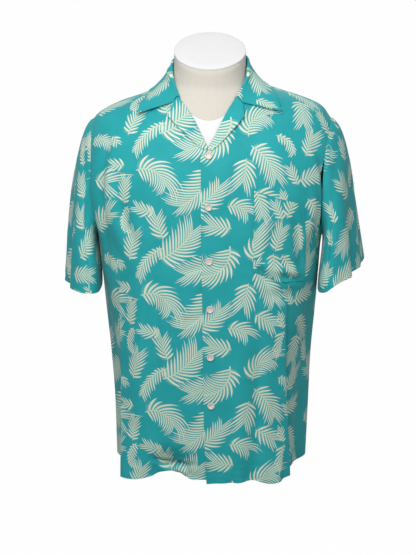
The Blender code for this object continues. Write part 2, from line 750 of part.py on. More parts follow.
def lapel_grid(side):
    """Rows from the break up to the notch, columns from the roll line outwards."""
    lapel = side_row(LAPEL, side)
    low = (lapel["break_x"], lapel["break_height"])
    corner = (lapel["corner_x"], lapel["corner_height"])
    notch = (lapel["notch_x"], lapel["notch_height"])
    gorge = (lapel["gorge_x"], lapel["gorge_height"])
    half = LAPEL_STEPS // 2
    rows = []
    for row in range(LAPEL_ROWS + 1):
        t = row / LAPEL_ROWS
        height = mix(low[1], gorge[1], t)
        start = (along(ROLL_LINE, side, height) + 0.0015, height)
        end = (mix(low[0] + 0.004, corner[0], t), mix(low[1], corner[1], t) - 0.008 * t * (1 - t))
        cells = []
        for column in range(LAPEL_STEPS + 1):
            share = column / LAPEL_STEPS
            if column <= half:
                top = [mix(a, b, column / half) for a, b in zip(gorge, notch)]
            else:
                top = [mix(a, b, column / half - 1) for a, b in zip(notch, corner)]
            x = mix(start[0], end[0], share) + (top[0] - mix(gorge[0], corner[0], share)) * t * t
            z = mix(start[1], end[1], share) + (top[1] - mix(gorge[1], corner[1], share)) * t * t
            lift = WALL * 1.5 + 0.0008 + LAPEL_LIFT * share * t
            cells.append(front_view_point(side, x, z, lift))
        rows.append(cells)
    return rows


def make_lapel(side, finish):
    rows = lapel_grid(side)
    if side == "right":
        rows = [row[::-1] for row in rows]
    return thickened(side + "_lapel", rows, finish)


# ---------------------------------------------------------------- pocket and buttons
def make_pocket(finish):
    x = dict(zip(POCKET["corner"], POCKET["x"]))
    z = dict(zip(POCKET["corner"], POCKET["height"]))
    columns = 8
    steps = 8
    rows = []
    for row in range(steps + 1):
        up = row / steps
        cells = []
        for column in range(columns + 1):
            out = column / columns
            foot_x = mix(x["bottom_inner"], x["bottom_outer"], out)
            foot_z = mix(z["bottom_inner"], z["bottom_outer"], out)
            foot_z -= POCKET_POINT * (1 - abs(2 * out - 1))
            top_x = mix(x["top_inner"], x["top_outer"], out)
            top_z = mix(z["top_inner"], z["top_outer"], out)
            cells.append((mix(foot_x, top_x, up), mix(foot_z, top_z, up)))
        rows.append(cells)
    lift = WALL + POCKET_LIFT
    inner = [[front_view_point("left", px, pz, lift) for px, pz in row] for row in rows]
    outer = [[front_view_point("left", px, pz, lift + WALL) for px, pz in row] for row in rows]
    return wall("chest_pocket", inner, outer, finish)


def make_button(number, height, finish):
    """Turned button with a raised rim and a dished middle, facing out of the front."""
    x = along(CENTRE, "shift", height)
    arc = arc_at_x(x, height, "left")
    base = front_point("left", arc, height, WALL + SEAM_GAP + 0.0002)
    facing = body_normal(angle_at_arc(arc, height, "left"), height)
    radius = BUTTON_DIAMETER / 2
    profile = ((0.80, 0.0), (0.97, 0.30), (1.0, 0.62), (0.90, 1.0), (0.72, 0.92), (0.60, 0.62))
    segments = 20
    turn = facing.to_track_quat("Z", "Y").to_matrix()
    points = []
    for share, rise in profile:
        for k in range(segments):
            around = 2 * pi * k / segments
            flat = Vector((share * radius * cos(around), share * radius * sin(around),
                           rise * BUTTON_THICKNESS))
            points.append(base + turn @ flat)
    faces = [tuple(range(segments - 1, -1, -1))]
    for ring in range(len(profile) - 1):
        for k in range(segments):
            a = ring * segments + k
            b = ring * segments + (k + 1) % segments
            faces.append((a, b, b + segments, a + segments))
    top = (len(profile) - 1) * segments
    faces.append(tuple(range(top, top + segments)))
    return add_object("button_%d" % number, points, faces, finish)


# ---------------------------------------------------------------- dress form
def form_point(angle, height):
    power = along(FORM, "square", height)
    across = abs(sin(angle)) / along(FORM, "side", height)
    deep = abs(cos(angle)) / along(FORM, "front" if cos(angle) > 0 else "back", height)
    radius = (across**power + deep**power) ** (-1 / power)
    return Vector((radius * sin(angle), -radius * cos(angle), height))


def neck_seam_height(angle):
    share = sin(angle / 2) / NECK_SEAM_WIDTH
    return NECK_SEAM_FRONT + NECK_SEAM_RISE * (1 - exp(-share * share / 2))


def cap_ring(radius, rise):
    """Ring of the tilted flat top of the neck, raised along its own normal."""
    back_up = Vector((0, cos(CAP_TILT), sin(CAP_TILT)))
    normal = Vector((0, -sin(CAP_TILT), cos(CAP_TILT)))
    ring = []
    for k in range(NECK_SEGMENTS):
        angle = 2 * pi * k / NECK_SEGMENTS
        ring.append(CAP_CENTRE + normal * rise
                    + Vector((radius * sin(angle), 0, 0)) - back_up * radius * cos(angle))
    return ring


def turned_solid(name, rings, finish, middle_low=None, middle_high=None):
    """Closed solid through rings, ended by flat faces or by fans to a middle point."""
    count = len(rings[0])
    points = [p for ring in rings for p in ring]
    faces = []
    for r in range(len(rings) - 1):
        for k in range(count):
            a = r * count + k
            b = r * count + (k + 1) % count
            faces.append((a, b, b + count, a + count))
    for ring_start, middle, is_low in ((0, middle_low, True),
                                       ((len(rings) - 1) * count, middle_high, False)):
        loop = [ring_start + k for k in range(count)]
        if is_low:
            loop = loop[::-1]
        if middle is None:
            faces.append(tuple(loop))
            continue
        points.append(middle)
        tip = len(points) - 1
        for k in range(count):
            faces.append((loop[k], loop[(k + 1) % count], tip))
    return add_object(name, points, faces, finish)


def make_form(white, warm):
    angles = [2 * pi * k / NECK_SEGMENTS for k in range(NECK_SEGMENTS)]
    heights = (0.0, 0.008, 0.02, 0.04, 0.075, 0.13, 0.19, 0.26, 0.33, 0.39, 0.44, 0.49, 0.53,
               0.57, 0.60, 0.63, 0.655, 0.675, 0.69)
    rings = [[form_point(a, h) for a in angles] for h in heights]
    for share in (0.35, 0.7, 1.0):
        rings.append([form_point(a, mix(heights[-1], neck_seam_height(a), share)) for a in angles])
    middle = Vector((0, -0.01, NECK_SEAM_MIDDLE))
    turned_solid("form_torso", rings, white, middle_high=middle)

    seam = Vector((0, 0, SEAM_GAP * 1.6))
    base = [point + seam for point in rings[-1]]
    top = cap_ring(CAP_RADIUS, -SEAM_GAP)
    neck = [base]
    for share in (0.2, 0.4, 0.6, 0.8):
        ring = []
        for k, angle in enumerate(angles):
            height = mix(base[k].z, top[k].z, share)
            ring.append(form_point(angle, height))
        neck.append(ring)
    neck.append(top)
    turned_solid("form_neck", neck, warm, middle_low=middle + seam)
    bevel = 0.0008
    turned_solid("form_neck_cap",
                 [cap_ring(CAP_RADIUS, 0.0), cap_ring(CAP_RADIUS, CAP_THICKNESS - bevel),
                  cap_ring(CAP_RADIUS - bevel, CAP_THICKNESS)], white)


# ---------------------------------------------------------------- the whole part
def main():
    for old in list(bpy.data.objects):
        bpy.data.objects.remove(old, do_unlink=True)
    cloth = material("printed rayon", CLOTH, 0.75)
    pearl = material("pearl shell", SHELL, 0.3)
    white = material("matt white form", FORM_WHITE, 0.6)
    warm = material("warm white neck", NECK_WHITE, 0.6)
    make_form(white, warm)
    for side in ("right", "left"):
        make_front(side, cloth)
        make_lapel(side, cloth)
        make_sleeve(side, cloth)
    make_back(cloth)
    make_collar(cloth)
    make_pocket(cloth)
    for number, height in enumerate(BUTTON_HEIGHTS, 1):
        make_button(number, height, pearl)


main()
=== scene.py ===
"""Short-sleeved camp-collar shirt in a palm frond print, worn by a limbless dress form.

Metres, +Z up. The shirt's front faces -Y, and +X is the wearer's left. Every piece of cloth
is a fine two-sided sheet on the same body surface as the solid that it stands for.
"""
import bpy
import numpy as np
from math import radians
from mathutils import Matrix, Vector


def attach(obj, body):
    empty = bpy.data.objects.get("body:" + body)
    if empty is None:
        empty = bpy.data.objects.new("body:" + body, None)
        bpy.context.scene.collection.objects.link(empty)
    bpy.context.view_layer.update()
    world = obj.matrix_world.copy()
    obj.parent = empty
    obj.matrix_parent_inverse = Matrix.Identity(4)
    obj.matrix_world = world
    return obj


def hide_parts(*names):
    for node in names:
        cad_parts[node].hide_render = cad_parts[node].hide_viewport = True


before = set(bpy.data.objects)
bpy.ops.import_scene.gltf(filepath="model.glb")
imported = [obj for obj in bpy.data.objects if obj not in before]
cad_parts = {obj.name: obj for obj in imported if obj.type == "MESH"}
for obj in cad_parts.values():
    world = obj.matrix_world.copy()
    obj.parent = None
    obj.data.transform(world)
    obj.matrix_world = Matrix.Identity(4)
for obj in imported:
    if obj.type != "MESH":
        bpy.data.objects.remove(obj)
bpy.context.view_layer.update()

# ---------------------------------------------------------------- sizes of the shirt
# Heights are over the form's foot. Table angles are degrees round from the middle of the
# front, or of the back. An arc is the length of cloth round a ring from that middle.
WALL = 0.0012             # the solids' cloth wall; the sheets' outer faces lie on its own
CLOTH_THICKNESS = 0.0008  # rayon with its turned edges
MIDDLE = WALL - CLOTH_THICKNESS / 2   # a sheet's middle, measured from the wall's inner face
SEAM_GAP = 0.0003         # room between two pieces at a seam
EDGE = SEAM_GAP / 2
HEM_HEIGHT = 0.018
UNDERARM_HEIGHT = 0.468
BREAK_HEIGHT = 0.656      # where the fronts turn back, just over the top button
FRONT_OVERLAP = 0.014     # each front runs this far past the line of buttons
OVERLAP_LIFT = 0.0021     # the left front lies this far over the right one
OVERLAP_FLAT = 0.004      # it stays that high this far past the right front's edge
OVERLAP_EASE = 0.035      # and comes down over this arc

# Each row is one ring of the shirt's body: how far it reaches, and how square its sides are.
BODY = {
    "height":       (0.008, 0.068, 0.128, 0.228, 0.348, 0.408, 0.468, 0.528, 0.588, 0.638,
                     0.673, 0.698, 0.718, 0.733, 0.746, 0.758, 0.776),
    "right":        (0.182, 0.183, 0.184, 0.190, 0.2005, 0.2045, 0.2095, 0.225, 0.231, 0.229,
                     0.222, 0.208, 0.172, 0.128, 0.100, 0.084, 0.075),
    "left":         (0.187, 0.189, 0.191, 0.194, 0.2030, 0.2065, 0.2110, 0.224, 0.231, 0.233,
                     0.231, 0.221, 0.202, 0.163, 0.120, 0.089, 0.075),
    "front":        (0.155, 0.156, 0.156, 0.158, 0.159, 0.158, 0.156, 0.152, 0.146, 0.135,
                     0.120, 0.105, 0.093, 0.085, 0.078, 0.072, 0.068),
    "back":         (0.126, 0.125, 0.123, 0.119, 0.115, 0.115, 0.117, 0.119, 0.117, 0.111,
                     0.101, 0.093, 0.087, 0.083, 0.080, 0.077, 0.074),
    "square_right": (3.50, 3.40, 3.30, 3.00, 2.75, 2.65, 2.60, 2.60, 2.60, 2.45,
                     2.20, 2.05, 2.00, 2.00, 2.00, 2.00, 2.00),
    "square_left":  (2.70, 2.65, 2.60, 2.55, 2.55, 2.55, 2.55, 2.60, 2.60, 2.45,
                     2.20, 2.05, 2.00, 2.00, 2.00, 2.00, 2.00),
}
# The dress form's rings, likewise, from its foot to its neck.
FORM = {
    "height": (0.000, 0.015, 0.035, 0.068, 0.158, 0.258, 0.338, 0.428, 0.508, 0.568, 0.628,
               0.668, 0.698, 0.718, 0.733, 0.746, 0.758, 0.776, 0.798, 0.850),
    "side":   (0.116, 0.136, 0.147, 0.153, 0.156, 0.150, 0.150, 0.163, 0.180, 0.194, 0.206,
               0.206, 0.193, 0.161, 0.118, 0.091, 0.077, 0.0690, 0.0668, 0.0668),
    "front":  (0.050, 0.074, 0.090, 0.100, 0.110, 0.108, 0.110, 0.122, 0.138, 0.141, 0.129,
               0.113, 0.0975, 0.0856, 0.0777, 0.0717, 0.0667, 0.0650, 0.0650, 0.0650),
    "back":   (0.060, 0.082, 0.096, 0.104, 0.108, 0.098, 0.092, 0.100, 0.110, 0.112, 0.106,
               0.096, 0.087, 0.081, 0.077, 0.074, 0.071, 0.0690, 0.0668, 0.0668),
    "square": (2.20, 2.25, 2.30, 2.30, 2.30, 2.30, 2.30, 2.30, 2.30, 2.25, 2.20,
               2.10, 2.05, 2.00, 2.00, 2.00, 2.00, 2.00, 2.00, 2.00),
}
NECK_SEAM_FRONT = 0.705   # the white torso ends and the neck starts at this height
NECK_SEAM_RISE = 0.075    # and this much higher at the back
NECK_SEAM_WIDTH = 0.32    # how soon it rises to the sides
CAP_TILT = radians(20.5)
CAP_CENTRE = np.array((0.0, 0.0, 0.8155))
CAP_RADIUS = 0.0668

ARMHOLE = {
    "height":      (0.468, 0.475, 0.489, 0.509, 0.533, 0.558, 0.583, 0.608, 0.631, 0.652,
                    0.669, 0.683, 0.694),
    "front_right": (90.0, 82.5, 77.5, 74.0, 72.5, 72.0, 72.0, 73.0, 75.0, 77.8,
                    81.0, 85.0, 90.0),
    "front_left":  (90.0, 82.0, 76.5, 72.5, 70.0, 68.7, 68.5, 69.3, 71.0, 73.8,
                    77.5, 82.5, 90.0),
    "back":        (90.0, 83.0, 78.0, 75.0, 73.0, 72.0, 71.7, 72.3, 74.0, 76.7,
                    80.0, 84.3, 90.0),
}
RIGHT_ARMHOLE_DROP = 0.004    # the right shoulder hangs this much lower
# x of the line on which each lapel turns back.
ROLL_LINE = {
    "height": (0.656, 0.671, 0.692, 0.708, 0.723, 0.738, 0.754),
    "right":  (-0.0020, 0.0070, 0.0187, 0.0276, 0.0380, 0.0521, 0.0630),
    "left":   (-0.0012, 0.0069, 0.0192, 0.0275, 0.0358, 0.0458, 0.0575),
}
NECK_POINT_HEIGHT = 0.764     # top of the shoulder seams
BACK_NECK_HEIGHT = 0.757      # middle of the back neckline
# How far the line of buttons hangs to the wearer's left.
CENTRE = {
    "height": (0.008, 0.088, 0.178, 0.268, 0.368, 0.458, 0.658),
    "shift":  (0.0120, 0.0085, 0.0062, 0.0051, 0.0042, 0.0023, 0.0010),
}
# The long fold down each side of the front: its crest, and how deep the cloth drops behind.
FOLD = {
    "height":      (0.008, 0.088, 0.158, 0.233, 0.333, 0.408),
    "right_angle": (52.0, 53.5, 54.5, 55.0, 55.0, 54.5),
    "left_angle":  (54.5, 53.0, 51.6, 49.8, 48.2, 47.6),
    "right_out":   (0.0150, 0.0090, 0.0050, 0.0020, 0.0000, 0.0000),
    "left_out":    (0.0020, 0.0010, 0.0000, 0.0000, 0.0000, 0.0000),
    "depth":       (0.022, 0.021, 0.019, 0.016, 0.008, 0.000),
}
FOLD_TURN = 3.0           # degrees of ring in which the fold drops to its depth
FOLD_FLOOR = 16.0         # degrees of ring at full depth, before it runs out to the side
FOLD_RUN_UP = 14.0        # degrees of ring over which the front rises to the crest
FOLD_TOP = 0.37           # over this height the grid's columns leave the fold's crest
FOLD_TOP_EASE = 0.10
# The hem's waves: how far the cloth sinks in, and how far its edge rises.
HEM_INSET = {
    "x":      (-0.078, -0.004, 0.082, 0.118),
    "width":  (0.036, 0.025, 0.020, 0.020),
    "amount": (0.0290, 0.0030, 0.0040, -0.0080),
}
HEM_RISE = {
    "side":   ("right", "right", "left", "left", "left", "left"),
    "x":      (-0.078, -0.006, 0.000, 0.082, 0.118, 0.155),
    "width":  (0.036, 0.022, 0.014, 0.020, 0.020, 0.014),
    "amount": (0.0165, 0.0045, -0.0030, 0.0020, -0.0070, -0.0010),
}
HEM_WAVE_REACH = 0.085    # height over which the waves fade out
CUFF = {
    "side":         ("right", "left"),
    "outer_x":      (0.2765, 0.2880),
    "inner_x":      (0.2068, 0.2088),
    "outer_height": (0.3760, 0.4070),
    "inner_height": (0.3710, 0.3700),
    "front_sway":   (0.0180, 0.0270),
    "half_depth":   (0.0990, 0.1060),
    "top_out":      (0.1150, 0.1300),
    "hem_out":      (0.0300, 0.0600),
}
CUFF_ROUNDNESS = 0.82     # 1 is an ellipse, less is boxier
CUFF_SWAY_LOSS = 0.6      # share of the sway that is gone on the cuff's inner side
# How the sleeve's cloth sets off from the armhole and comes to the cuff, in metres of curve.
SLEEVE_LEAVES_OUT = 0.026
SLEEVE_LEAVES_FORWARD = 0.02
SLEEVE_LEAVES_DOWN = (0.035, 0.11)
SLEEVE_ARRIVES_OUT = 0.002
SLEEVE_ARRIVES_DOWN = (0.10, 0.34)
SLEEVE_GAP = SEAM_GAP * 1.5       # room between the sleeve's end and the armhole
SLEEVE_ROWS = (0.0, 0.05, 0.13, 0.25, 0.40, 0.56, 0.72, 0.87, 1.0)
COLLAR = {
    "roll_x":            (0.000, 0.037, 0.0610, 0.0705, 0.0705, 0.0665, 0.0565),
    "roll_y":            (0.078, 0.070, 0.0450, 0.0130, -0.0140, -0.0400, -0.0660),
    "roll_height":       (0.798, 0.798, 0.7970, 0.7940, 0.7830, 0.7675, 0.7445),
    "edge_angle_right":  (180.0, 152.0, 122.0, 88.0, 70.2, 64.0, 60.4),
    "edge_height_right": (0.728, 0.728, 0.7330, 0.7415, 0.7325, 0.7215, 0.7074),
    "edge_angle_left":   (180.0, 152.0, 122.0, 88.0, 70.0, 63.5, 60.0),
    "edge_height_left":  (0.728, 0.729, 0.7400, 0.7500, 0.7400, 0.7280, 0.7152),
    "edge_lift":         (0.0040, 0.0040, 0.0045, 0.0042, 0.0040, 0.0050, 0.0060),
}
COLLAR_LEFT_RISE = 0.006  # the collar stands this much higher on the wearer's left
COLLAR_TURN = 0.0019      # radius of the fold at the collar's top
COLLAR_SPRING = 0.0045    # how much further the collar's tips stand off
COLLAR_CLEAR = 0.0045     # the fall stays this far off the cloth under it
CLEAR_ABOVE = 0.014       # this far above the shirt's body, nothing is left to clear
SIDE_STATION = 3          # of the sections from the back to the end, the one at the side
FOLD_ROW = 3              # the row of each section that lies along the top fold
STAND_SHARE = 0.55        # where the stand's middle row lies
STAND_LIFT = SEAM_GAP + WALL * 0.7
FALL_SHARES = (0.0, 0.18, 0.40, 0.62, 0.82, 1.0)
FALL_SETS_OFF = 0.55      # how straight the fall leaves the fold, as a share of its drop,
FALL_LANDS = 0.8          # and how straight it comes down on the shirt,
FALL_LANDS_FROM = 0.006   # along a line that starts this far over its edge
NECK_INSET = 0.0018       # the stand's front ends lie this far inside the neckline
NECK_INSET_TURN = 1.35    # radians round from the front, where that begins
NECK_INSET_EASE = 0.35
NECKLINE_TURN = 0.62      # radians round from the front, where the neckline starts to rise
NECKLINE_EASE = np.pi / 2 - 0.8
# Round a front's turned edge, from behind it: x past the edge, and lift off the front.
COLLAR_END_ROLL = ((-0.0016, -0.0040), (-0.0020, -0.0018), (-0.0020, 0.0008),
                   (-0.0002, WALL + 0.0020))
COLLAR_END_INNER = 0.0022     # from here the end lies flat, this far in and this far up
COLLAR_END_SHARE = 0.55       # a place between there and the notch
COLLAR_TIP_SHARES = (0.36, 0.70)      # and two between the notch and the collar's tip
NOTCH_LIFT = 0.0040
LAPEL_ROLL = ((0.0040, -0.0016), (0.0000, -0.0016), (-0.0022, -0.0008), (-0.0030, 0.0008),
              (-0.0022, 0.0022))
LAPEL_ROLL_STEP = 0.002       # cloth between two of those places
LAPEL = {
    "side":          ("right", "left"),
    "break_x":       (0.0065, 0.0045),
    "break_height":  (0.6600, 0.6580),
    "corner_x":      (0.0720, 0.0640),
    "corner_height": (0.7100, 0.7110),
    "notch_x":       (0.0655, 0.0608),
    "notch_height":  (0.7310, 0.7330),
    "gorge_x":       (0.0555, 0.0500),
    "gorge_height":  (0.7420, 0.7430),
}
NOTCH_GAP = 0.0020        # the collar's end clears the lapels' top edges by this much
LAPEL_STEPS = 16
LAPEL_ROWS = 42
LAPEL_LIFT = 0.0065       # how far the lapels' outer corners stand off the fronts
LAPEL_INSET = 0.0015      # the lapel starts this far outside the roll line
LAPEL_BREAK_WIDTH = 0.004     # and is this wide at the break
LAPEL_BELLY = 0.008       # how far its outer edge sags under a straight line
LAPEL_CLEAR = WALL * 1.5 + 0.0008     # its middle over the front's inner face
POCKET = {
    "corner": ("top_inner", "top_outer", "bottom_outer", "bottom_inner"),
    "x":      (0.0837, 0.1755, 0.1775, 0.0830),
    "height": (0.5870, 0.5550, 0.4060, 0.4370),
}
POCKET_POINT = 0.009      # its foot comes to a low point in the middle
POCKET_LIFT = WALL + 0.0010 + MIDDLE
POCKET_COLUMNS = 48
POCKET_ROWS = 60

BUTTON_HEIGHTS = (0.6485, 0.5580, 0.4575, 0.3660, 0.2725, 0.1760)
BUTTON_DIAMETER = 0.0138
BUTTON_THICKNESS = 0.0024
BUTTON_SIDES = 48
BUTTON_GAP = SEAM_GAP + 0.0002
# From the back, over the rim and into the dished middle: share of the radius, of the height.
BUTTON_PROFILE = ((0.80, 0.0), (0.97, 0.30), (1.0, 0.62), (0.90, 1.0), (0.74, 0.94),
                  (0.62, 0.46), (0.30, 0.36), (0.02, 0.36))
HOLES = 4                 # sewing holes round the middle
HOLE_PLACE = 0.26         # as shares of the button's radius
HOLE_WIDTH = 0.07
HOLE_DEPTH = 0.34         # as a share of its thickness
HOLE_SHARPNESS = 4        # the higher, the narrower each hole is round the middle

# Rows and columns of the solids' grids, as shares of the height or as counts.
LOW_ROWS = (0.0, 0.035, 0.085, 0.16, 0.25, 0.34, 0.43, 0.53, 0.63, 0.73, 0.83, 0.92)
BELOW_ARMHOLE = len(LOW_ROWS)
ARMHOLE_ROWS = len(ARMHOLE["height"]) - 1
FRONT_ROWS = BELOW_ARMHOLE + ARMHOLE_ROWS
CENTRE_ROWS = (0.0, 0.2, 0.4, 0.59, 0.78, 0.955)
BREAK_ROW = BELOW_ARMHOLE + len(CENTRE_ROWS)
FOLD_COLUMN = 8           # this column of a front lies on its side fold's crest
FRONT_COLUMNS = 14
BACK_COLUMNS = 18
NECK_COLUMNS = 6          # of the back's columns, those along its neckline

# Fine rows and columns for each of the solids' own, or for each of a flat sheet's.
FINER_ROWS = 6
FINER_COLUMNS = 8
SLEEVE_FINER = (5, 6)
COLLAR_FINER = (5, 12)
POCKET_FINER = (6, 6)
RINGS_FINER = 4           # for each ring of a button or of the dress form's torso
QUARTER = np.linspace(0, np.pi / 2, 61)     # angles at which a quarter ring is measured


# ---------------------------------------------------------------- small helpers
def hermite(start, start_slope, end, end_slope, t):
    """Cubic between two values or points with the given end slopes."""
    return (start * (2 * t**3 - 3 * t**2 + 1) + start_slope * (t**3 - 2 * t**2 + t)
            + end * (3 * t**2 - 2 * t**3) + end_slope * (t**3 - t**2))


def smooth(t):
    """0 to 1 with level ends."""
    t = np.clip(t, 0.0, 1.0)
    return t * t * (3 - 2 * t)


def mix(a, b, t):
    return a + (b - a) * t


def unit(vectors):
    return vectors / np.linalg.norm(vectors, axis=-1, keepdims=True)


def point(x, y, z):
    return np.stack(np.broadcast_arrays(x, y, z), axis=-1).astype(float)


def along(table, column, at):
    """Smooth values of one column of a table at some heights, held level past its ends."""
    knots = np.array(table["height"])
    values = np.array(table[column])
    slopes = np.gradient(values, knots)
    at = np.clip(at, knots[0], knots[-1])
    low = np.clip(np.searchsorted(knots, at) - 1, 0, len(knots) - 2)
    span = knots[low + 1] - knots[low]
    return hermite(values[low], slopes[low] * span, values[low + 1], slopes[low + 1] * span,
                   (at - knots[low]) / span)


def side_row(table, side):
    """One side's values from a table with a column for each of the two sides."""
    index = table["side"].index(side)
    return {name: values[index] for name, values in table.items()}


def signed_power(value, power):
    return np.abs(value) ** power * np.sign(value)


# ---------------------------------------------------------------- the body surface
def fold_offset(angle, height):
    """How far the side folds move the front out or in."""
    left = np.sin(angle) > 0
    turn = np.degrees(np.abs(angle))
    crest = np.where(left, along(FOLD, "left_angle", height), along(FOLD, "right_angle", height))
    out = np.where(left, along(FOLD, "left_out", height), along(FOLD, "right_out", height))
    past = turn - crest
    floor_end = FOLD_TURN + FOLD_FLOOR
    runs_out = 1 - smooth((past - floor_end) / (90 - crest - floor_end))
    behind = mix(out, -along(FOLD, "depth", height), smooth(past / FOLD_TURN)) * runs_out
    offset = np.where(past <= 0, out * np.exp(-((past / FOLD_RUN_UP) ** 2)), behind)
    return np.where((height > FOLD["height"][-1]) | (turn > 90), 0.0, offset)


def hem_wave(table, x, height, side=None):
    """Sum of the hem's waves at x, faded with height."""
    total = 0.0
    for row, centre in enumerate(table["x"]):
        if side is None or table["side"][row] == side:
            total += table["amount"][row] * np.exp(-((x - centre) / table["width"][row]) ** 2)
    return total * (1 - smooth((height - HEM_HEIGHT) / HEM_WAVE_REACH))


def ring_radius(angle, height):
    """The shirt body's reach at a ring angle, without its folds."""
    left = np.sin(angle) > 0
    front = np.cos(angle) > 0
    power = np.where(left, along(BODY, "square_left", height), along(BODY, "square_right", height))
    side = np.where(left, along(BODY, "left", height), along(BODY, "right", height))
    depth = np.where(front, along(BODY, "front", height), along(BODY, "back", height))
    across = np.abs(np.sin(angle)) / side
    deep = np.abs(np.cos(angle)) / depth
    return (across**power + deep**power) ** (-1 / power)


def body_point(angle, height):
    """Inner face of the cloth. Angle 0 is the front, +90 degrees the wearer's left."""
    radius = ring_radius(angle, height) + fold_offset(angle, height)
    inset = hem_wave(HEM_INSET, radius * np.sin(angle), height)
    radius = np.where(np.abs(angle) < np.pi / 2, radius - inset, radius)
    return point(radius * np.sin(angle), -radius * np.cos(angle), height)


def body_normal(angle, height):
    step = 0.02
    rise = 0.002
    round_it = body_point(angle + step, height) - body_point(angle - step, height)
    up_it = body_point(angle, height + rise) - body_point(angle, height - rise)
    return unit(np.cross(round_it, up_it))


def lifted(angle, height, lift):
    """A point this far out from the cloth's inner face."""
    return body_point(angle, height) + body_normal(angle, height) * np.asarray(lift)[..., None]


def quarter_rings(heights, side, back):
    """Arc length and x at each angle of a quarter ring, a row for each height."""
    sign = 1 if side == "left" else -1
    turned = (np.pi - QUARTER if back else QUARTER) * sign
    radii = ring_radius(turned[None, :], heights[:, None])
    x = radii * np.sin(QUARTER)
    y = radii * np.cos(QUARTER)
    steps = np.hypot(np.diff(x), np.diff(y))
    return np.pad(np.cumsum(steps, axis=1), ((0, 0), (1, 0))), x


def look_up(at, knots, values):
    """Each value read between its own row of rising knots."""
    at = np.clip(at, knots[:, 0], knots[:, -1])
    low = np.clip((knots < at[:, None]).sum(axis=1) - 1, 0, knots.shape[1] - 2)
    rows = np.arange(len(at))
    share = (at - knots[rows, low]) / (knots[rows, low + 1] - knots[rows, low])
    return mix(values[rows, low], values[rows, low + 1], share)


def arc_at(value, height, side, back=False, by_x=False):
    """Arc length from the middle to a ring angle, or to an x, on one side."""
    value, height = np.broadcast_arrays(np.asarray(value, float), height)
    arcs, x = quarter_rings(height.ravel().astype(float), side, back)
    knots = x if by_x else np.broadcast_to(QUARTER, arcs.shape)
    found = look_up(value.ravel(), knots, arcs)
    return found.reshape(value.shape) if value.shape else float(found[0])


def angle_at_arc(arc, height, side, back=False):
    """Signed ring angles of points this far round from the middle."""
    arc, height = np.broadcast_arrays(np.asarray(arc, float), height)
    flat_arc = arc.ravel()
    flat_height = height.ravel().astype(float)
    angle = np.empty(flat_arc.size)
    other = "right" if side == "left" else "left"
    for name, chosen in ((side, flat_arc >= 0), (other, flat_arc < 0)):
        if chosen.any():
            arcs, _ = quarter_rings(flat_height[chosen], name, back)
            turn = look_up(np.abs(flat_arc[chosen]), arcs, np.broadcast_to(QUARTER, arcs.shape))
            turn = np.pi - turn if back else turn
            angle[chosen] = turn if name == "left" else -turn
    return angle.reshape(arc.shape)


# ---------------------------------------------------------------- grids and flat cloth
def finer(grid, factor, axis):
    """More points along one axis of a grid, on a smooth curve through the given ones."""
    grid = np.moveaxis(np.asarray(grid, float), axis, 0)
    slopes = np.gradient(grid, axis=0)
    at = np.arange((len(grid) - 1) * factor + 1) / factor
    low = np.minimum(at.astype(int), len(grid) - 2)
    t = (at - low).reshape(-1, *(1,) * (grid.ndim - 1))
    made = hermite(grid[low], slopes[low], grid[low + 1], slopes[low + 1], t)
    return np.moveaxis(made, 0, axis)


def finer_panel(grid):
    """A front or the back made finer, with its edge still cornered at the underarm."""
    low = finer(grid[:BELOW_ARMHOLE + 1], FINER_ROWS, 0)
    high = finer(grid[BELOW_ARMHOLE:], FINER_ROWS, 0)
    return finer(np.concatenate((low, high[1:])), FINER_COLUMNS, 1)


def finer_both(grid, factors):
    return finer(finer(grid, factors[0], 0), factors[1], 1)


def laid_flat(grid, start, rounds=1500, eager=1.6):
    """Places on flat cloth that keep the lengths between neighbouring points of a grid.

    Every round moves each place by the mean of what its neighbours ask, times eager.
    """
    flat = np.array(start, float)
    rows, columns = grid.shape[:2]
    pairs = []
    for down, across in ((0, 1), (1, 0), (1, 1), (1, -1)):
        a = (slice(0, rows - down), slice(max(0, -across), columns - max(0, across)))
        b = (slice(down, rows), slice(max(0, across), columns + min(0, across)))
        pairs.append((a, b, np.linalg.norm(grid[b] - grid[a], axis=-1)))
    for _ in range(rounds):
        push = np.zeros_like(flat)
        count = np.zeros((rows, columns, 1))
        for a, b, length in pairs:
            gap = flat[b] - flat[a]
            now = np.linalg.norm(gap, axis=-1)
            fix = gap * ((now - length) / now / 2)[..., None]
            push[a] += fix
            push[b] -= fix
            count[a] += 1
            count[b] += 1
        flat += push / count * eager
    return flat


def grid_normals(grid, closed_round=False):
    if closed_round:
        round_it = np.roll(grid, -1, axis=1) - np.roll(grid, 1, axis=1)
    else:
        round_it = np.gradient(grid, axis=1)
    return unit(np.cross(round_it, np.gradient(grid, axis=0)))


# ---------------------------------------------------------------- fronts and back
def armhole_drop(side):
    return RIGHT_ARMHOLE_DROP if side == "right" else 0.0


def armhole_at(row, side, back):
    """Height and arc of one place on the armhole's seam."""
    height = ARMHOLE["height"][row] - armhole_drop(side) * row / ARMHOLE_ROWS
    angle = radians(ARMHOLE["back" if back else "front_" + side][row])
    return height, arc_at(angle, height, side, back)


def side_edge(side, back=False):
    """Arc and height of each row's end: up the side seam, then round the armhole."""
    edge = []
    for share in LOW_ROWS:
        height = mix(HEM_HEIGHT, UNDERARM_HEIGHT, share)
        edge.append((arc_at(np.pi / 2, height, side, back) - EDGE, height))
    for row in range(ARMHOLE_ROWS + 1):
        height, arc = armhole_at(row, side, back)
        at_seam = row in (0, ARMHOLE_ROWS)
        edge.append((arc - EDGE if at_seam else arc, height))
    return edge


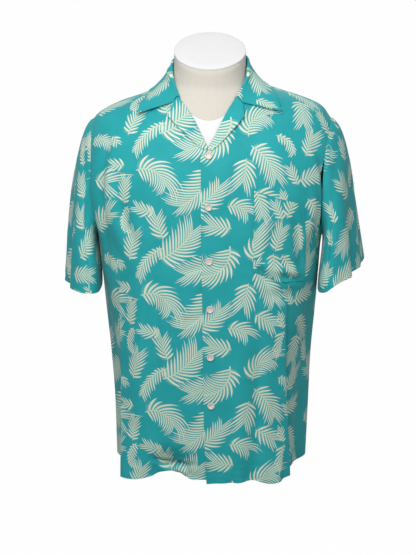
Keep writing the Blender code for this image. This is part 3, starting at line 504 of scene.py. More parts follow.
def centre_edge(side):
    """Arc and height of each row's start: up the front edge, then the roll line."""
    heights = [mix(HEM_HEIGHT, UNDERARM_HEIGHT, share) for share in LOW_ROWS]
    heights += [mix(UNDERARM_HEIGHT, BREAK_HEIGHT, share) for share in CENTRE_ROWS]
    edge = []
    for height in heights:
        shift = along(CENTRE, "shift", height)
        edge.append(((-shift if side == "right" else shift) - FRONT_OVERLAP, height))
    low = ROLL_LINE["height"][0]
    high = ROLL_LINE["height"][-1]
    roll_rows = FRONT_ROWS - BREAK_ROW - 2
    for row in range(roll_rows + 1):
        height = mix(low, high, row / roll_rows)
        x = along(ROLL_LINE, side, height)
        edge.append((arc_at(abs(x), height, side, by_x=True) * np.sign(x), height))
    for share in (0.5, 1.0):
        height = mix(high, NECK_POINT_HEIGHT, share)
        start = arc_at(along(ROLL_LINE, side, high), height, side, by_x=True)
        seam = arc_at(np.pi / 2, height, side) - EDGE
        edge.append((mix(start, seam, share), height))
    return edge


def column_shares(row, start, end, side):
    """Where each column of a front lies between its row's ends, 0 to 1."""
    even = [i / FRONT_COLUMNS for i in range(FRONT_COLUMNS + 1)]
    height = mix(start[1], end[1], FOLD_COLUMN / FRONT_COLUMNS)
    if row > BELOW_ARMHOLE:
        return even
    fold_angle = np.radians(along(FOLD, side + "_angle", height))
    width = end[0] - start[0]
    crest = (arc_at(fold_angle, height, side) - start[0]) / width
    foot = (arc_at(fold_angle + radians(FOLD_TURN), height, side) - start[0]) / width
    pull = 1 - smooth((height - FOLD_TOP) / FOLD_TOP_EASE)
    shares = []
    for i, share in enumerate(even):
        if i <= FOLD_COLUMN:
            target = crest * i / FOLD_COLUMN
        else:
            target = mix(foot, 1.0, (i - FOLD_COLUMN - 1) / (FRONT_COLUMNS - FOLD_COLUMN - 1))
        shares.append(mix(share, target, pull))
    return shares


def front_domain(side):
    """Grid of (arc, height) for one front, rows up and columns out to the side."""
    starts = centre_edge(side)
    ends = side_edge(side)
    grid = []
    for row in range(FRONT_ROWS + 1):
        start = starts[row]
        end = ends[row]
        lean = smooth((row - BREAK_ROW) / (FRONT_ROWS - BREAK_ROW))
        cells = []
        for share in column_shares(row, start, end, side):
            top_height = mix(starts[-1][1], ends[-1][1], share)
            top_arc = arc_at(np.pi / 2, top_height, side) - EDGE
            straight = mix(starts[-1][0], ends[-1][0], share)
            arc = mix(start[0], end[0], share)
            cells.append((arc + (top_arc - straight) * lean, mix(start[1], end[1], share)))
        grid.append(cells)
    return np.array(grid)


def front_lift(side, arc, height):
    """The left front rides over the right one near the buttons."""
    if side == "right":
        return 0.0
    end = along(CENTRE, "shift", height) + FRONT_OVERLAP
    return OVERLAP_LIFT * (1 - smooth((arc - end - OVERLAP_FLAT) / OVERLAP_EASE))


def front_point(side, arc, height, extra=0.0):
    """Point on a front, this far out from the cloth's inner face."""
    angle = angle_at_arc(arc, height, side)
    made = lifted(angle, height, front_lift(side, arc, height) + extra)
    made[..., 2] += hem_wave(HEM_RISE, made[..., 0], height, side)
    return made


def front_view_point(side, x, height, lift):
    """Point on a front at this x and height as seen from the front."""
    return front_point(side, arc_at(x, height, side, by_x=True), height, lift)


def back_top(column):
    """Arc and height along the back's top: shoulder seam, neckline, shoulder seam."""
    seam_columns = (BACK_COLUMNS - NECK_COLUMNS) // 2
    side = "right" if column <= BACK_COLUMNS / 2 else "left"
    from_side = column if side == "right" else BACK_COLUMNS - column
    sign = -1 if side == "right" else 1
    if from_side <= seam_columns:
        tip_height = ARMHOLE["height"][-1] - armhole_drop(side)
        height = mix(tip_height, NECK_POINT_HEIGHT, from_side / seam_columns)
        return (arc_at(np.pi / 2, height, side, True) - EDGE) * sign, height
    inward = (from_side - seam_columns) / (NECK_COLUMNS / 2)
    height = mix(NECK_POINT_HEIGHT, BACK_NECK_HEIGHT, smooth(inward))
    return (arc_at(np.pi / 2, height, side, True) - EDGE) * (1 - inward) * sign, height


def back_domain():
    """Grid of (arc, height) for the back, arcs from the wearer's right to the left."""
    rights = side_edge("right", back=True)
    lefts = side_edge("left", back=True)
    grid = []
    for row in range(len(rights)):
        lean = smooth((row - BELOW_ARMHOLE + 1) / (ARMHOLE_ROWS + 1))
        cells = []
        for column in range(BACK_COLUMNS + 1):
            share = column / BACK_COLUMNS
            top = back_top(column)
            arc = mix(-rights[row][0], lefts[row][0], share)
            height = mix(rights[row][1], lefts[row][1], share)
            straight_arc = mix(-rights[-1][0], lefts[-1][0], share)
            straight_height = mix(rights[-1][1], lefts[-1][1], share)
            cells.append((arc + (top[0] - straight_arc) * lean,
                          height + (top[1] - straight_height) * lean))
        grid.append(cells)
    return np.array(grid)


def back_point(arc, height, extra=0.0):
    return lifted(angle_at_arc(arc, height, "left", True), height, extra)


# ---------------------------------------------------------------- sleeves
def armhole_ring(side, front_edge, back_edge):
    """Points and normals round the armhole: top, front, underarm, back."""
    front = front_edge[:0:-1]
    back = back_edge[:-1]
    angles = np.concatenate((angle_at_arc(front[:, 0], front[:, 1], side),
                             angle_at_arc(np.abs(back[:, 0]), back[:, 1], side, True)))
    heights = np.concatenate((front[:, 1], back[:, 1]))
    return lifted(angles, heights, WALL / 2), body_normal(angles, heights)


def cuff_point(side, turn):
    """Points of the cuff's edge. Turn 0 is its outer side, 90 degrees its front."""
    cuff = side_row(CUFF, side)
    sign = 1 if side == "left" else -1
    across = signed_power(np.cos(turn), CUFF_ROUNDNESS)
    forward = signed_power(np.sin(turn), CUFF_ROUNDNESS)
    share = (1 - across) / 2
    sway = cuff["front_sway"] * forward * (1 - CUFF_SWAY_LOSS * share)
    x = mix(cuff["outer_x"], cuff["inner_x"], share) - sway
    height = mix(cuff["outer_height"], cuff["inner_height"], share)
    return point(x * sign, -cuff["half_depth"] * forward, height)


def sleeve_tube(side, top, shares):
    """Rows of the sleeve's tube, from the cuff up to the given ring at the armhole."""
    cuff = side_row(CUFF, side)
    sign = 1 if side == "left" else -1
    turn = 2 * np.pi * np.arange(len(top)) / len(top)
    up = (1 + np.cos(turn)) / 2
    across = np.abs(np.sin(turn))
    down_top, down_side = SLEEVE_LEAVES_DOWN
    leave = point(sign * mix(SLEEVE_LEAVES_OUT, cuff["top_out"], up),
                  -SLEEVE_LEAVES_FORWARD * across * np.sin(turn),
                  -down_top * up - down_side * across * smooth(2 * up))
    arrive = point(sign * mix(SLEEVE_ARRIVES_OUT, cuff["hem_out"], up), 0,
                   -mix(*SLEEVE_ARRIVES_DOWN, up))
    t = np.array(shares)[::-1, None, None]
    return hermite(top, leave, cuff_point(side, turn), arrive, t)


def sleeve_grid(side, front_edge, back_edge, shares):
    """The sleeve's middle surface, columns from the shoulder tip round by the front."""
    ring, normals = armhole_ring(side, front_edge, back_edge)
    sign = 1 if side == "left" else -1
    first = unit(np.cross(np.roll(ring, -1, 0) - np.roll(ring, 1, 0),
                          sleeve_tube(side, ring, shares)[-2] - ring))
    tangent = np.roll(ring, -1, 0) - np.roll(ring, 1, 0)
    into_hole = unit(np.cross(tangent, normals)) * -sign
    reach = np.abs((first * into_hole).sum(axis=-1, keepdims=True))
    return sleeve_tube(side, ring + into_hole * (SLEEVE_GAP + reach * WALL / 2), shares)


# ---------------------------------------------------------------- collar and lapels
def above_body(points, gap):
    """The points, moved straight out from the middle until they clear the body."""
    angle = np.arctan2(points[..., 0], -points[..., 1])
    top = BODY["height"][-1]
    least = ring_radius(angle, np.minimum(points[..., 2], top)) + gap
    reach = np.hypot(points[..., 0], points[..., 1])
    beside = smooth((top + CLEAR_ABOVE - points[..., 2]) / CLEAR_ABOVE)
    scale = mix(1.0, np.maximum(least / reach, 1.0), beside)
    return points * point(scale, scale, 1.0)


def neckline_point(side, station):
    """Foot of the collar's stand: on the neckline, and inside it near the front end."""
    sign = 1 if side == "left" else -1
    turn = np.arctan2(COLLAR["roll_x"][station], -COLLAR["roll_y"][station])
    if turn > np.pi / 2:
        height = mix(NECK_POINT_HEIGHT, BACK_NECK_HEIGHT, smooth((turn - np.pi / 2) * 2 / np.pi))
    else:
        low = ROLL_LINE["height"][-1]
        rise = min(1.0, (turn - NECKLINE_TURN) / NECKLINE_EASE)
        height = mix(low, NECK_POINT_HEIGHT, rise)
    inset = NECK_INSET * smooth((NECK_INSET_TURN - turn) / NECK_INSET_EASE)
    return lifted(turn * sign, height, WALL / 2 - inset) + (0, 0, STAND_LIFT)


def collar_end(side, edge):
    """The collar's front end: round the front's turned edge, then out to its tip."""
    lapel = side_row(LAPEL, side)
    x = lapel["gorge_x"]
    height = lapel["gorge_height"] + NOTCH_GAP
    notch_height = lapel["notch_height"] + NOTCH_GAP
    notch = front_view_point(side, lapel["notch_x"], notch_height, WALL + NOTCH_LIFT)
    start = front_view_point(side, x + COLLAR_END_INNER, height, WALL + COLLAR_END_INNER)
    rolled = [front_view_point(side, x + past, height, lift) for past, lift in COLLAR_END_ROLL]
    tip = [mix(notch, edge, share) for share in COLLAR_TIP_SHARES]
    return rolled + [start, mix(start, notch, COLLAR_END_SHARE), notch] + tip + [edge]


def collar_section(side, station):
    """Points across the collar: up the stand, over the fold and down the fall."""
    sign = 1 if side == "left" else -1
    angle = sign * radians(COLLAR["edge_angle_" + side][station])
    height = COLLAR["edge_height_" + side][station]
    past_side = (station - SIDE_STATION) / SIDE_STATION
    lift = WALL + COLLAR["edge_lift"][station] + COLLAR_SPRING * smooth(past_side)
    edge = lifted(angle, height, lift)
    if station == len(COLLAR["roll_x"]) - 1:
        return collar_end(side, edge)
    rise = COLLAR_LEFT_RISE if side == "left" else 0.0
    share = smooth(1 - abs(past_side))
    roll = np.array((COLLAR["roll_x"][station] * sign, COLLAR["roll_y"][station],
                     COLLAR["roll_height"][station] + rise * share))
    out = unit(roll * (1, 1, 0)) * COLLAR_TURN
    up = np.array((0, 0, 1.0))
    foot = neckline_point(side, station)
    start = roll + out
    drop = np.linalg.norm(edge - start)
    landing = unit(edge - lifted(angle, height + FALL_LANDS_FROM, lift))
    fall = [hermite(start, up * -FALL_SETS_OFF * drop, edge, landing * drop * FALL_LANDS, t)
            for t in FALL_SHARES]
    inner = roll - out
    return [foot, mix(foot, inner, STAND_SHARE), inner, roll + up * COLLAR_TURN] + fall


def collar_grid():
    """Sections all round the neck, from the right front edge to the left one."""
    last = len(COLLAR["roll_x"]) - 1
    sections = [collar_section("right", k) for k in range(last, 0, -1)]
    sections += [collar_section("left", k) for k in range(last + 1)]
    return np.array(sections).transpose(1, 0, 2)


def lapel_grid(side):
    """Rows from the break up to the notch, columns round the roll and outwards."""
    lapel = side_row(LAPEL, side)
    low = (lapel["break_x"], lapel["break_height"])
    corner = (lapel["corner_x"], lapel["corner_height"])
    notch = (lapel["notch_x"], lapel["notch_height"])
    gorge = (lapel["gorge_x"], lapel["gorge_height"])
    half = LAPEL_STEPS // 2
    t = np.linspace(0, 1, LAPEL_ROWS + 1)
    start_height = mix(low[1], gorge[1], t)
    start_x = along(ROLL_LINE, side, start_height) + LAPEL_INSET
    end_x = mix(low[0] + LAPEL_BREAK_WIDTH, corner[0], t)
    end_height = mix(low[1], corner[1], t) - LAPEL_BELLY * t * (1 - t)
    columns = [front_view_point(side, start_x + past, start_height, lift)
               for past, lift in LAPEL_ROLL]
    for column in range(LAPEL_STEPS + 1):
        share = column / LAPEL_STEPS
        if column <= half:
            top = [mix(a, b, column / half) for a, b in zip(gorge, notch)]
        else:
            top = [mix(a, b, column / half - 1) for a, b in zip(notch, corner)]
        x = mix(start_x, end_x, share) + (top[0] - mix(gorge[0], corner[0], share)) * t * t
        z = mix(start_height, end_height, share)
        z += (top[1] - mix(gorge[1], corner[1], share)) * t * t
        lift = LAPEL_CLEAR + LAPEL_LIFT * share * t
        columns.append(front_view_point(side, x, z, lift))
    return np.array(columns).transpose(1, 0, 2)


# ---------------------------------------------------------------- creases in the cloth
# Each row is one crease: the way it faces, its width in mm, its lean to one side, and the
# stops along it. A stop is x (y on a sleeve's outer side), height, both in mm, and how far
# the cloth stands out there, in mm, or with a minus sinks in. A way that a crease faces has
# the two axes its stops are measured on, and its direction.
FACING = {"front": ((0, 2), (0, -1, 0)), "back": ((0, 2), (0, 1, 0)),
          "left": ((1, 2), (1, 0, 0)), "right": ((1, 2), (-1, 0, 0))}
STOP_STEPS = 10
BANK_SHARE = 0.3          # beside a crease the cloth gives this much the other way,
BANK_PLACE = 2.1          # this many widths from its middle
CREASE_REACH = 4          # widths from its middle at which a crease has run out
FACING_EASE = 1.6         # how soon a crease fades where the cloth turns away
FACING_LEAST = 0.1        # its line is sought on cloth that faces its way this much
BODY_CREASES = (
    # armholes: the front rolls in towards each sleeve
    ("front", 10, 0.3, ((-186, 660, -2), (-196, 600, -6), (-196, 540, -8), (-190, 470, -5),
                        (-188, 420, -2))),
    ("front", 9, -0.3, ((200, 650, -2), (212, 590, -6), (213, 530, -8), (206, 470, -5),
                        (200, 420, -2))),
    ("front", 13, 0.0, ((-140, 430, 0), (-172, 510, 5), (-180, 590, 2))),
    ("front", 12, 0.0, ((160, 450, 0), (190, 520, 4), (194, 600, 1))),
    ("front", 9, 0.2, ((-126, 470, 0), (-156, 530, -4), (-168, 600, -1))),
    # soft drops from the chest
    ("front", 18, 0.2, ((-112, 560, 0), (-120, 440, 3.5), (-124, 300, 5), (-128, 150, 4))),
    ("front", 11, 0.2, ((-92, 470, 0), (-96, 360, -3), (-98, 240, -3.5), (-100, 120, -2))),
    ("front", 16, -0.2, ((60, 400, 0), (62, 260, 3), (58, 120, 4), (56, -20, 4))),
    ("front", 11, 0.2, ((92, 340, 0), (96, 240, -3), (94, 120, -4), (90, -20, -2))),
    ("front", 13, 0.2, ((-40, 330, 0), (-44, 180, -3), (-46, -20, -5))),
    ("front", 12, 0.0, ((-64, 620, 0), (-72, 560, 3), (-70, 500, 0))),
    # pulls at two buttons
    ("front", 6, 0.0, ((-8, 452, -1.5), (-30, 440, -2), (-60, 430, 0))),
    ("front", 6, 0.0, ((-8, 352, -1.5), (-34, 344, -2), (-66, 338, 0))),
    ("front", 6, 0.0, ((14, 452, -1.5), (34, 444, -2), (56, 440, 0))),
    # the pocket bags, under it and beside it
    ("front", 7, 0.2, ((92, 452, 0), (99, 436, -5), (112, 416, -4), (122, 402, 0))),
    ("front", 6, -0.2, ((126, 436, 0), (140, 422, -4.5), (160, 411, -4), (176, 402, 0))),
    ("front", 8, 0.0, ((104, 456, 0), (124, 436, 4), (150, 428, 3), (172, 424, 0))),
    ("front", 8, 0.0, ((90, 470, 0), (106, 520, 2.5), (98, 570, 0))),
    ("front", 7, 0.2, ((150, 560, 0), (162, 510, -3), (170, 450, -3), (172, 420, 0))),
    ("front", 9, 0.0, ((96, 398, 0), (120, 388, -3), (150, 384, -3), (170, 386, 0))),
    # hem
    ("front", 5, 0.0, ((-108, 66, 0), (-98, 60, -5), (-74, 51, -7), (-46, 48, -6),
                       (-18, 58, 0))),
    ("front", 8, 0.0, ((-100, 44, 0), (-74, 32, 6), (-48, 32, 4), (-26, -20, 0))),
    ("front", 9, 0.0, ((-52, 60, 0), (-55, -20, -5))),
    ("front", 8, 0.2, ((-110, 80, 0), (-104, -20, 5))),
    ("front", 9, 0.0, ((22, 82, 0), (26, -20, 4))),
    ("front", 7, 0.0, ((46, 60, 0), (48, -20, -5))),
    ("front", 10, 0.0, ((112, 90, 0), (114, -20, -6))),
    ("front", 8, 0.0, ((138, 96, 0), (134, -20, 5))),
)
SLEEVE_CREASES = {
    "right": (
        # sunk beside the armhole, front and back
        ("front", 15, 0.0, ((-236, 665, -1), (-232, 600, -5), (-227, 530, -8),
                            (-224, 450, -8), (-223, 330, -6))),
        ("back", 15, 0.0, ((-232, 650, -1), (-228, 590, -5), (-225, 520, -7), (-223, 330, -6))),
        ("front", 10, 0.0, ((-232, 540, 0), (-252, 460, 3.5), (-262, 330, 3))),
        ("right", 13, 0.0, ((10, 620, 0), (4, 540, 3), (-10, 450, 4), (-16, 330, 3))),
        ("right", 11, 0.0, ((-30, 560, 0), (-40, 480, -3), (-46, 330, -4))),
        ("back", 10, 0.0, ((-232, 540, 0), (-250, 470, 3.5), (-258, 330, 3)))),
    "left": (
        ("front", 15, 0.0, ((238, 665, -1), (233, 600, -4), (230, 530, -7),
                            (228, 450, -8), (226, 320, -6))),
        ("back", 15, 0.0, ((238, 650, -1), (231, 590, -5), (228, 520, -7), (226, 320, -6))),
        ("front", 11, 0.0, ((236, 540, 0), (258, 470, 4), (272, 320, 4))),
        ("left", 13, 0.0, ((6, 620, 0), (0, 540, 3), (-12, 450, 4), (-18, 320, 3))),
        ("left", 11, 0.0, ((-34, 560, 0), (-44, 480, -3), (-52, 320, -4))),
        ("back", 10, 0.0, ((234, 540, 0), (256, 470, 4), (268, 320, 3)))),
}
BACK_CREASES = (
    ("back", 12, 0.3, ((-180, 650, -2), (-192, 590, -6), (-194, 530, -7), (-188, 460, -4))),
    ("back", 12, -0.3, ((184, 650, -2), (196, 590, -6), (198, 530, -7), (192, 460, -4))),
    ("back", 20, 0.2, ((-72, 600, 0), (-82, 450, 3), (-86, 260, 5), (-88, -20, 5))),
    ("back", 14, 0.0, ((-30, 520, 0), (-36, 360, -3), (-40, 180, -5), (-42, -20, -5))),
    ("back", 18, 0.0, ((8, 560, 0), (10, 380, 3), (12, 200, 4), (14, -20, 4))),
    ("back", 14, -0.2, ((62, 600, 0), (70, 430, -3), (76, 220, -5), (74, -20, -4))),
    ("back", 18, 0.2, ((112, 540, 0), (118, 380, 3), (122, 180, 5), (120, -20, 4))),
    ("back", 12, 0.0, ((-140, 420, 0), (-130, 300, -3), (-126, 140, -4))),
    ("back", 12, 0.0, ((-120, 640, 0), (-60, 600, 2.5), (0, 590, 2), (64, 602, 2),
                       (120, 640, 0))),
)


def crease_lines(grids, rows):
    """Each crease as points on the given surfaces, with its depths, width, lean and way."""
    points = np.concatenate([grid.reshape(-1, 3) for grid in grids])
    normals = np.concatenate([grid_normals(grid).reshape(-1, 3) for grid in grids])
    lines = []
    for facing, width, lean, stops in rows:
        axes, way = FACING[facing]
        near = points[normals @ way > FACING_LEAST]
        path = finer(np.array(stops, float) / 1000, STOP_STEPS, 0)
        gaps = ((near[None, :, axes] - path[:, None, :2]) ** 2).sum(axis=-1)
        line = near[gaps.argmin(axis=1)]
        steps = np.arange(len(line))
        depth_axis = 3 - sum(axes)
        line[:, depth_axis] = np.polyval(np.polyfit(steps, line[:, depth_axis], 2), steps)
        line[:, axes] = path[:, :2]
        lines.append((line, path[:, 2], width / 1000, lean, way))
    return lines


def creased(grid, lines):
    """The grid with its creases pressed in or raised, square to the cloth."""
    normals = grid_normals(grid).reshape(-1, 3)
    points = grid.reshape(-1, 3)
    push = np.zeros(len(points))
    for line, depths, width, lean, way in lines:
        reach = width * CREASE_REACH
        inside = (points > line.min(axis=0) - reach) & (points < line.max(axis=0) + reach)
        chosen = np.flatnonzero(inside.all(axis=1))
        if not len(chosen):
            continue
        gaps = points[chosen, None] - line
        nearest = (gaps**2).sum(axis=-1).argmin(axis=1)
        gap = gaps[np.arange(len(chosen)), nearest]
        tangent = unit(np.gradient(line, axis=0))[nearest]
        across = (gap * np.cross(tangent, normals[chosen])).sum(axis=-1) / width
        beyond = (gap * tangent).sum(axis=-1) / width
        across = np.abs(across / (1 + lean * np.sign(across)))
        shape = np.exp(-across**2) - BANK_SHARE * np.exp(-(across - BANK_PLACE) ** 2)
        same_way = smooth(normals[chosen] @ way * FACING_EASE)
        push[chosen] += depths[nearest] * shape * np.exp(-beyond**2) * same_way
    return grid + (push[:, None] * normals).reshape(grid.shape)


# ---------------------------------------------------------------- pieces
SHARP_EDGE = radians(50)
# A cloth's two sides and its rim share one square: where each starts, and how much it takes.
BAKE_MARGIN = 0.01
BAKE_SPAN = 0.98
BAKE_OUTER = 0.60
BAKE_INNER = 0.30
BAKE_INNER_START = 0.63
BAKE_RIM = (0.95, 0.95, 0.98, 0.98)


def spread(indices):
    """Corner indices of every cell of a grid of indices."""
    cells = (indices[:-1, :-1], indices[:-1, 1:], indices[1:, 1:], indices[1:, :-1])
    return np.stack(cells, axis=-1).reshape(-1, 4)


def add_piece(name, points, faces, finish, maps=()):
    """One mesh object with its coordinate maps and its finish."""
    mesh = bpy.data.meshes.new(name)
    mesh.from_pydata([tuple(p) for p in points], [], [tuple(f) for f in faces])
    for map_name, values in maps:
        layer = mesh.uv_layers.new(name=map_name)
        layer.data.foreach_set("uv", np.asarray(values, "f").ravel())
    mesh.shade_smooth()
    mesh.set_sharp_from_angle(angle=SHARP_EDGE)
    mesh.materials.append(finish)
    made = bpy.data.objects.new(name, mesh)
    bpy.context.collection.objects.link(made)
    return made


def stand_for(made, node):
    """The piece rides on the frame's only body, in the place of one of its nodes."""
    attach(made, "root")
    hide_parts(node)


def ring_piece(name, node, rings, finish):
    """A closed solid through rings of points, with flat ends."""
    rings = np.array(rings)
    indices = np.arange(rings.size // 3).reshape(rings.shape[:2])
    faces = [tuple(row) for row in spread(np.concatenate((indices, indices[:, :1]), axis=1))]
    faces += [tuple(indices[0, ::-1]), tuple(indices[-1])]
    stand_for(add_piece(name, rings.reshape(-1, 3), faces, finish), node)


def border_of(indices, closed_round):
    """Pairs of neighbouring indices along a grid's open border, surface on the left."""
    low = np.stack((indices[0, :-1], indices[0, 1:]), axis=-1)
    high = np.stack((indices[-1, 1:], indices[-1, :-1]), axis=-1)
    if closed_round:
        return np.concatenate((low, high))
    right = np.stack((indices[:-1, -1], indices[1:, -1]), axis=-1)
    left = np.stack((indices[1:, 0], indices[:-1, 0]), axis=-1)
    return np.concatenate((low, right, high, left))


def bake_places(corners, cells, rim_count, tall):
    """Places of every face's corners on one square: the outside, the inside and the rim."""
    up, across = np.meshgrid(*(np.linspace(0, 1, n) for n in corners.shape), indexing="ij")
    sheet = np.stack((up, across) if tall else (across, up), axis=-1).reshape(-1, 2)
    outer = sheet * (BAKE_SPAN, BAKE_OUTER) + (BAKE_MARGIN, BAKE_MARGIN)
    inner = sheet * (BAKE_SPAN, BAKE_INNER) + (BAKE_MARGIN, BAKE_INNER_START)
    start = BAKE_MARGIN + BAKE_SPAN * np.arange(rim_count)[:, None] / rim_count
    along_rim = start + np.array((1, 0, 0, 1)) * BAKE_SPAN / rim_count
    rim = np.stack((along_rim, np.broadcast_to(BAKE_RIM, (rim_count, 4))), axis=-1)
    return np.concatenate((outer[cells], inner[cells[:, ::-1]], rim))


def cloth(name, node, grid, flat, finish, closed_round=False):
    """Two-sided cloth on a grid: columns anticlockwise, rows up, seen from outside.

    flat has a place on the cut cloth for each grid point, and one more column than the
    grid where the cloth closes round.
    """
    rows, columns = grid.shape[:2]
    half = grid_normals(grid, closed_round) * CLOTH_THICKNESS / 2
    points = np.concatenate(((grid + half).reshape(-1, 3), (grid - half).reshape(-1, 3)))
    below = rows * columns
    indices = np.arange(below).reshape(rows, columns)
    if closed_round:
        indices = np.concatenate((indices, indices[:, :1]), axis=1)
    corners = np.arange(indices.size).reshape(indices.shape)
    outer = spread(indices)
    rim = border_of(indices, closed_round)
    rim_faces = np.stack((rim[:, 1], rim[:, 0], rim[:, 0] + below, rim[:, 1] + below), axis=-1)
    faces = np.concatenate((outer, outer[:, ::-1] + below, rim_faces))
    cells = spread(corners)
    rim_corners = border_of(corners, closed_round)[:, (1, 0, 0, 1)]
    cut = flat.reshape(-1, 2)[np.concatenate((cells, cells[:, ::-1], rim_corners))]
    tall = np.ptp(flat[..., 1]) > np.ptp(flat[..., 0])
    bake = bake_places(corners, cells, len(rim_faces), tall)
    made = add_piece(name, points, faces, finish, (("cut cloth", cut), ("OFBake", bake)))
    stand_for(made, node)
    return made


def mirrored(side, *grids):
    """Grids with their columns turned about where the side needs it."""
    return [grid[:, ::-1] if side == "right" else grid for grid in grids]


def front_parts(side):
    """A front's fine grid of (arc, height) and its flat cloth, upright on the centre line."""
    domain = front_domain(side)
    solid = front_point(side, domain[..., 0], domain[..., 1], WALL / 2)
    start = domain * (1 if side == "left" else -1, 1)
    flat = laid_flat(solid, start)
    edge = flat[:BREAK_ROW, 0]
    lean = np.polyfit(edge[:, 1], edge[:, 0], 1)[0]
    turn = np.arctan(lean)
    turned = flat @ np.array(((np.cos(turn), np.sin(turn)), (-np.sin(turn), np.cos(turn))))
    shift = start[:BREAK_ROW, 0].mean(axis=0) - turned[:BREAK_ROW, 0].mean(axis=0)
    return finer_panel(domain), finer_panel(turned + shift)


# ---------------------------------------------------------------- colours and nodes
def linear(hex_colour):
    """sRGB hex colour as linear RGBA."""
    values = [int(hex_colour[i:i + 2], 16) / 255 for i in (1, 3, 5)]
    return (*(v / 12.92 if v <= 0.04045 else ((v + 0.055) / 1.055) ** 2.4 for v in values), 1)


def add(tree, kind, inputs=None, **settings):
    """A node with its settings made and its inputs linked or set. Gives its outputs."""
    made = tree.nodes.new(kind)
    for name, value in settings.items():
        setattr(made, name, value)
    for key, value in (inputs or {}).items():
        if isinstance(value, bpy.types.NodeSocket):
            tree.links.new(value, made.inputs[key])
        else:
            made.inputs[key].default_value = value
    return made.outputs


def new_material(name):
    """An empty material and its node tree."""
    made = bpy.data.materials.new(name)
    made.use_nodes = True
    made.node_tree.nodes.clear()
    return made, made.node_tree


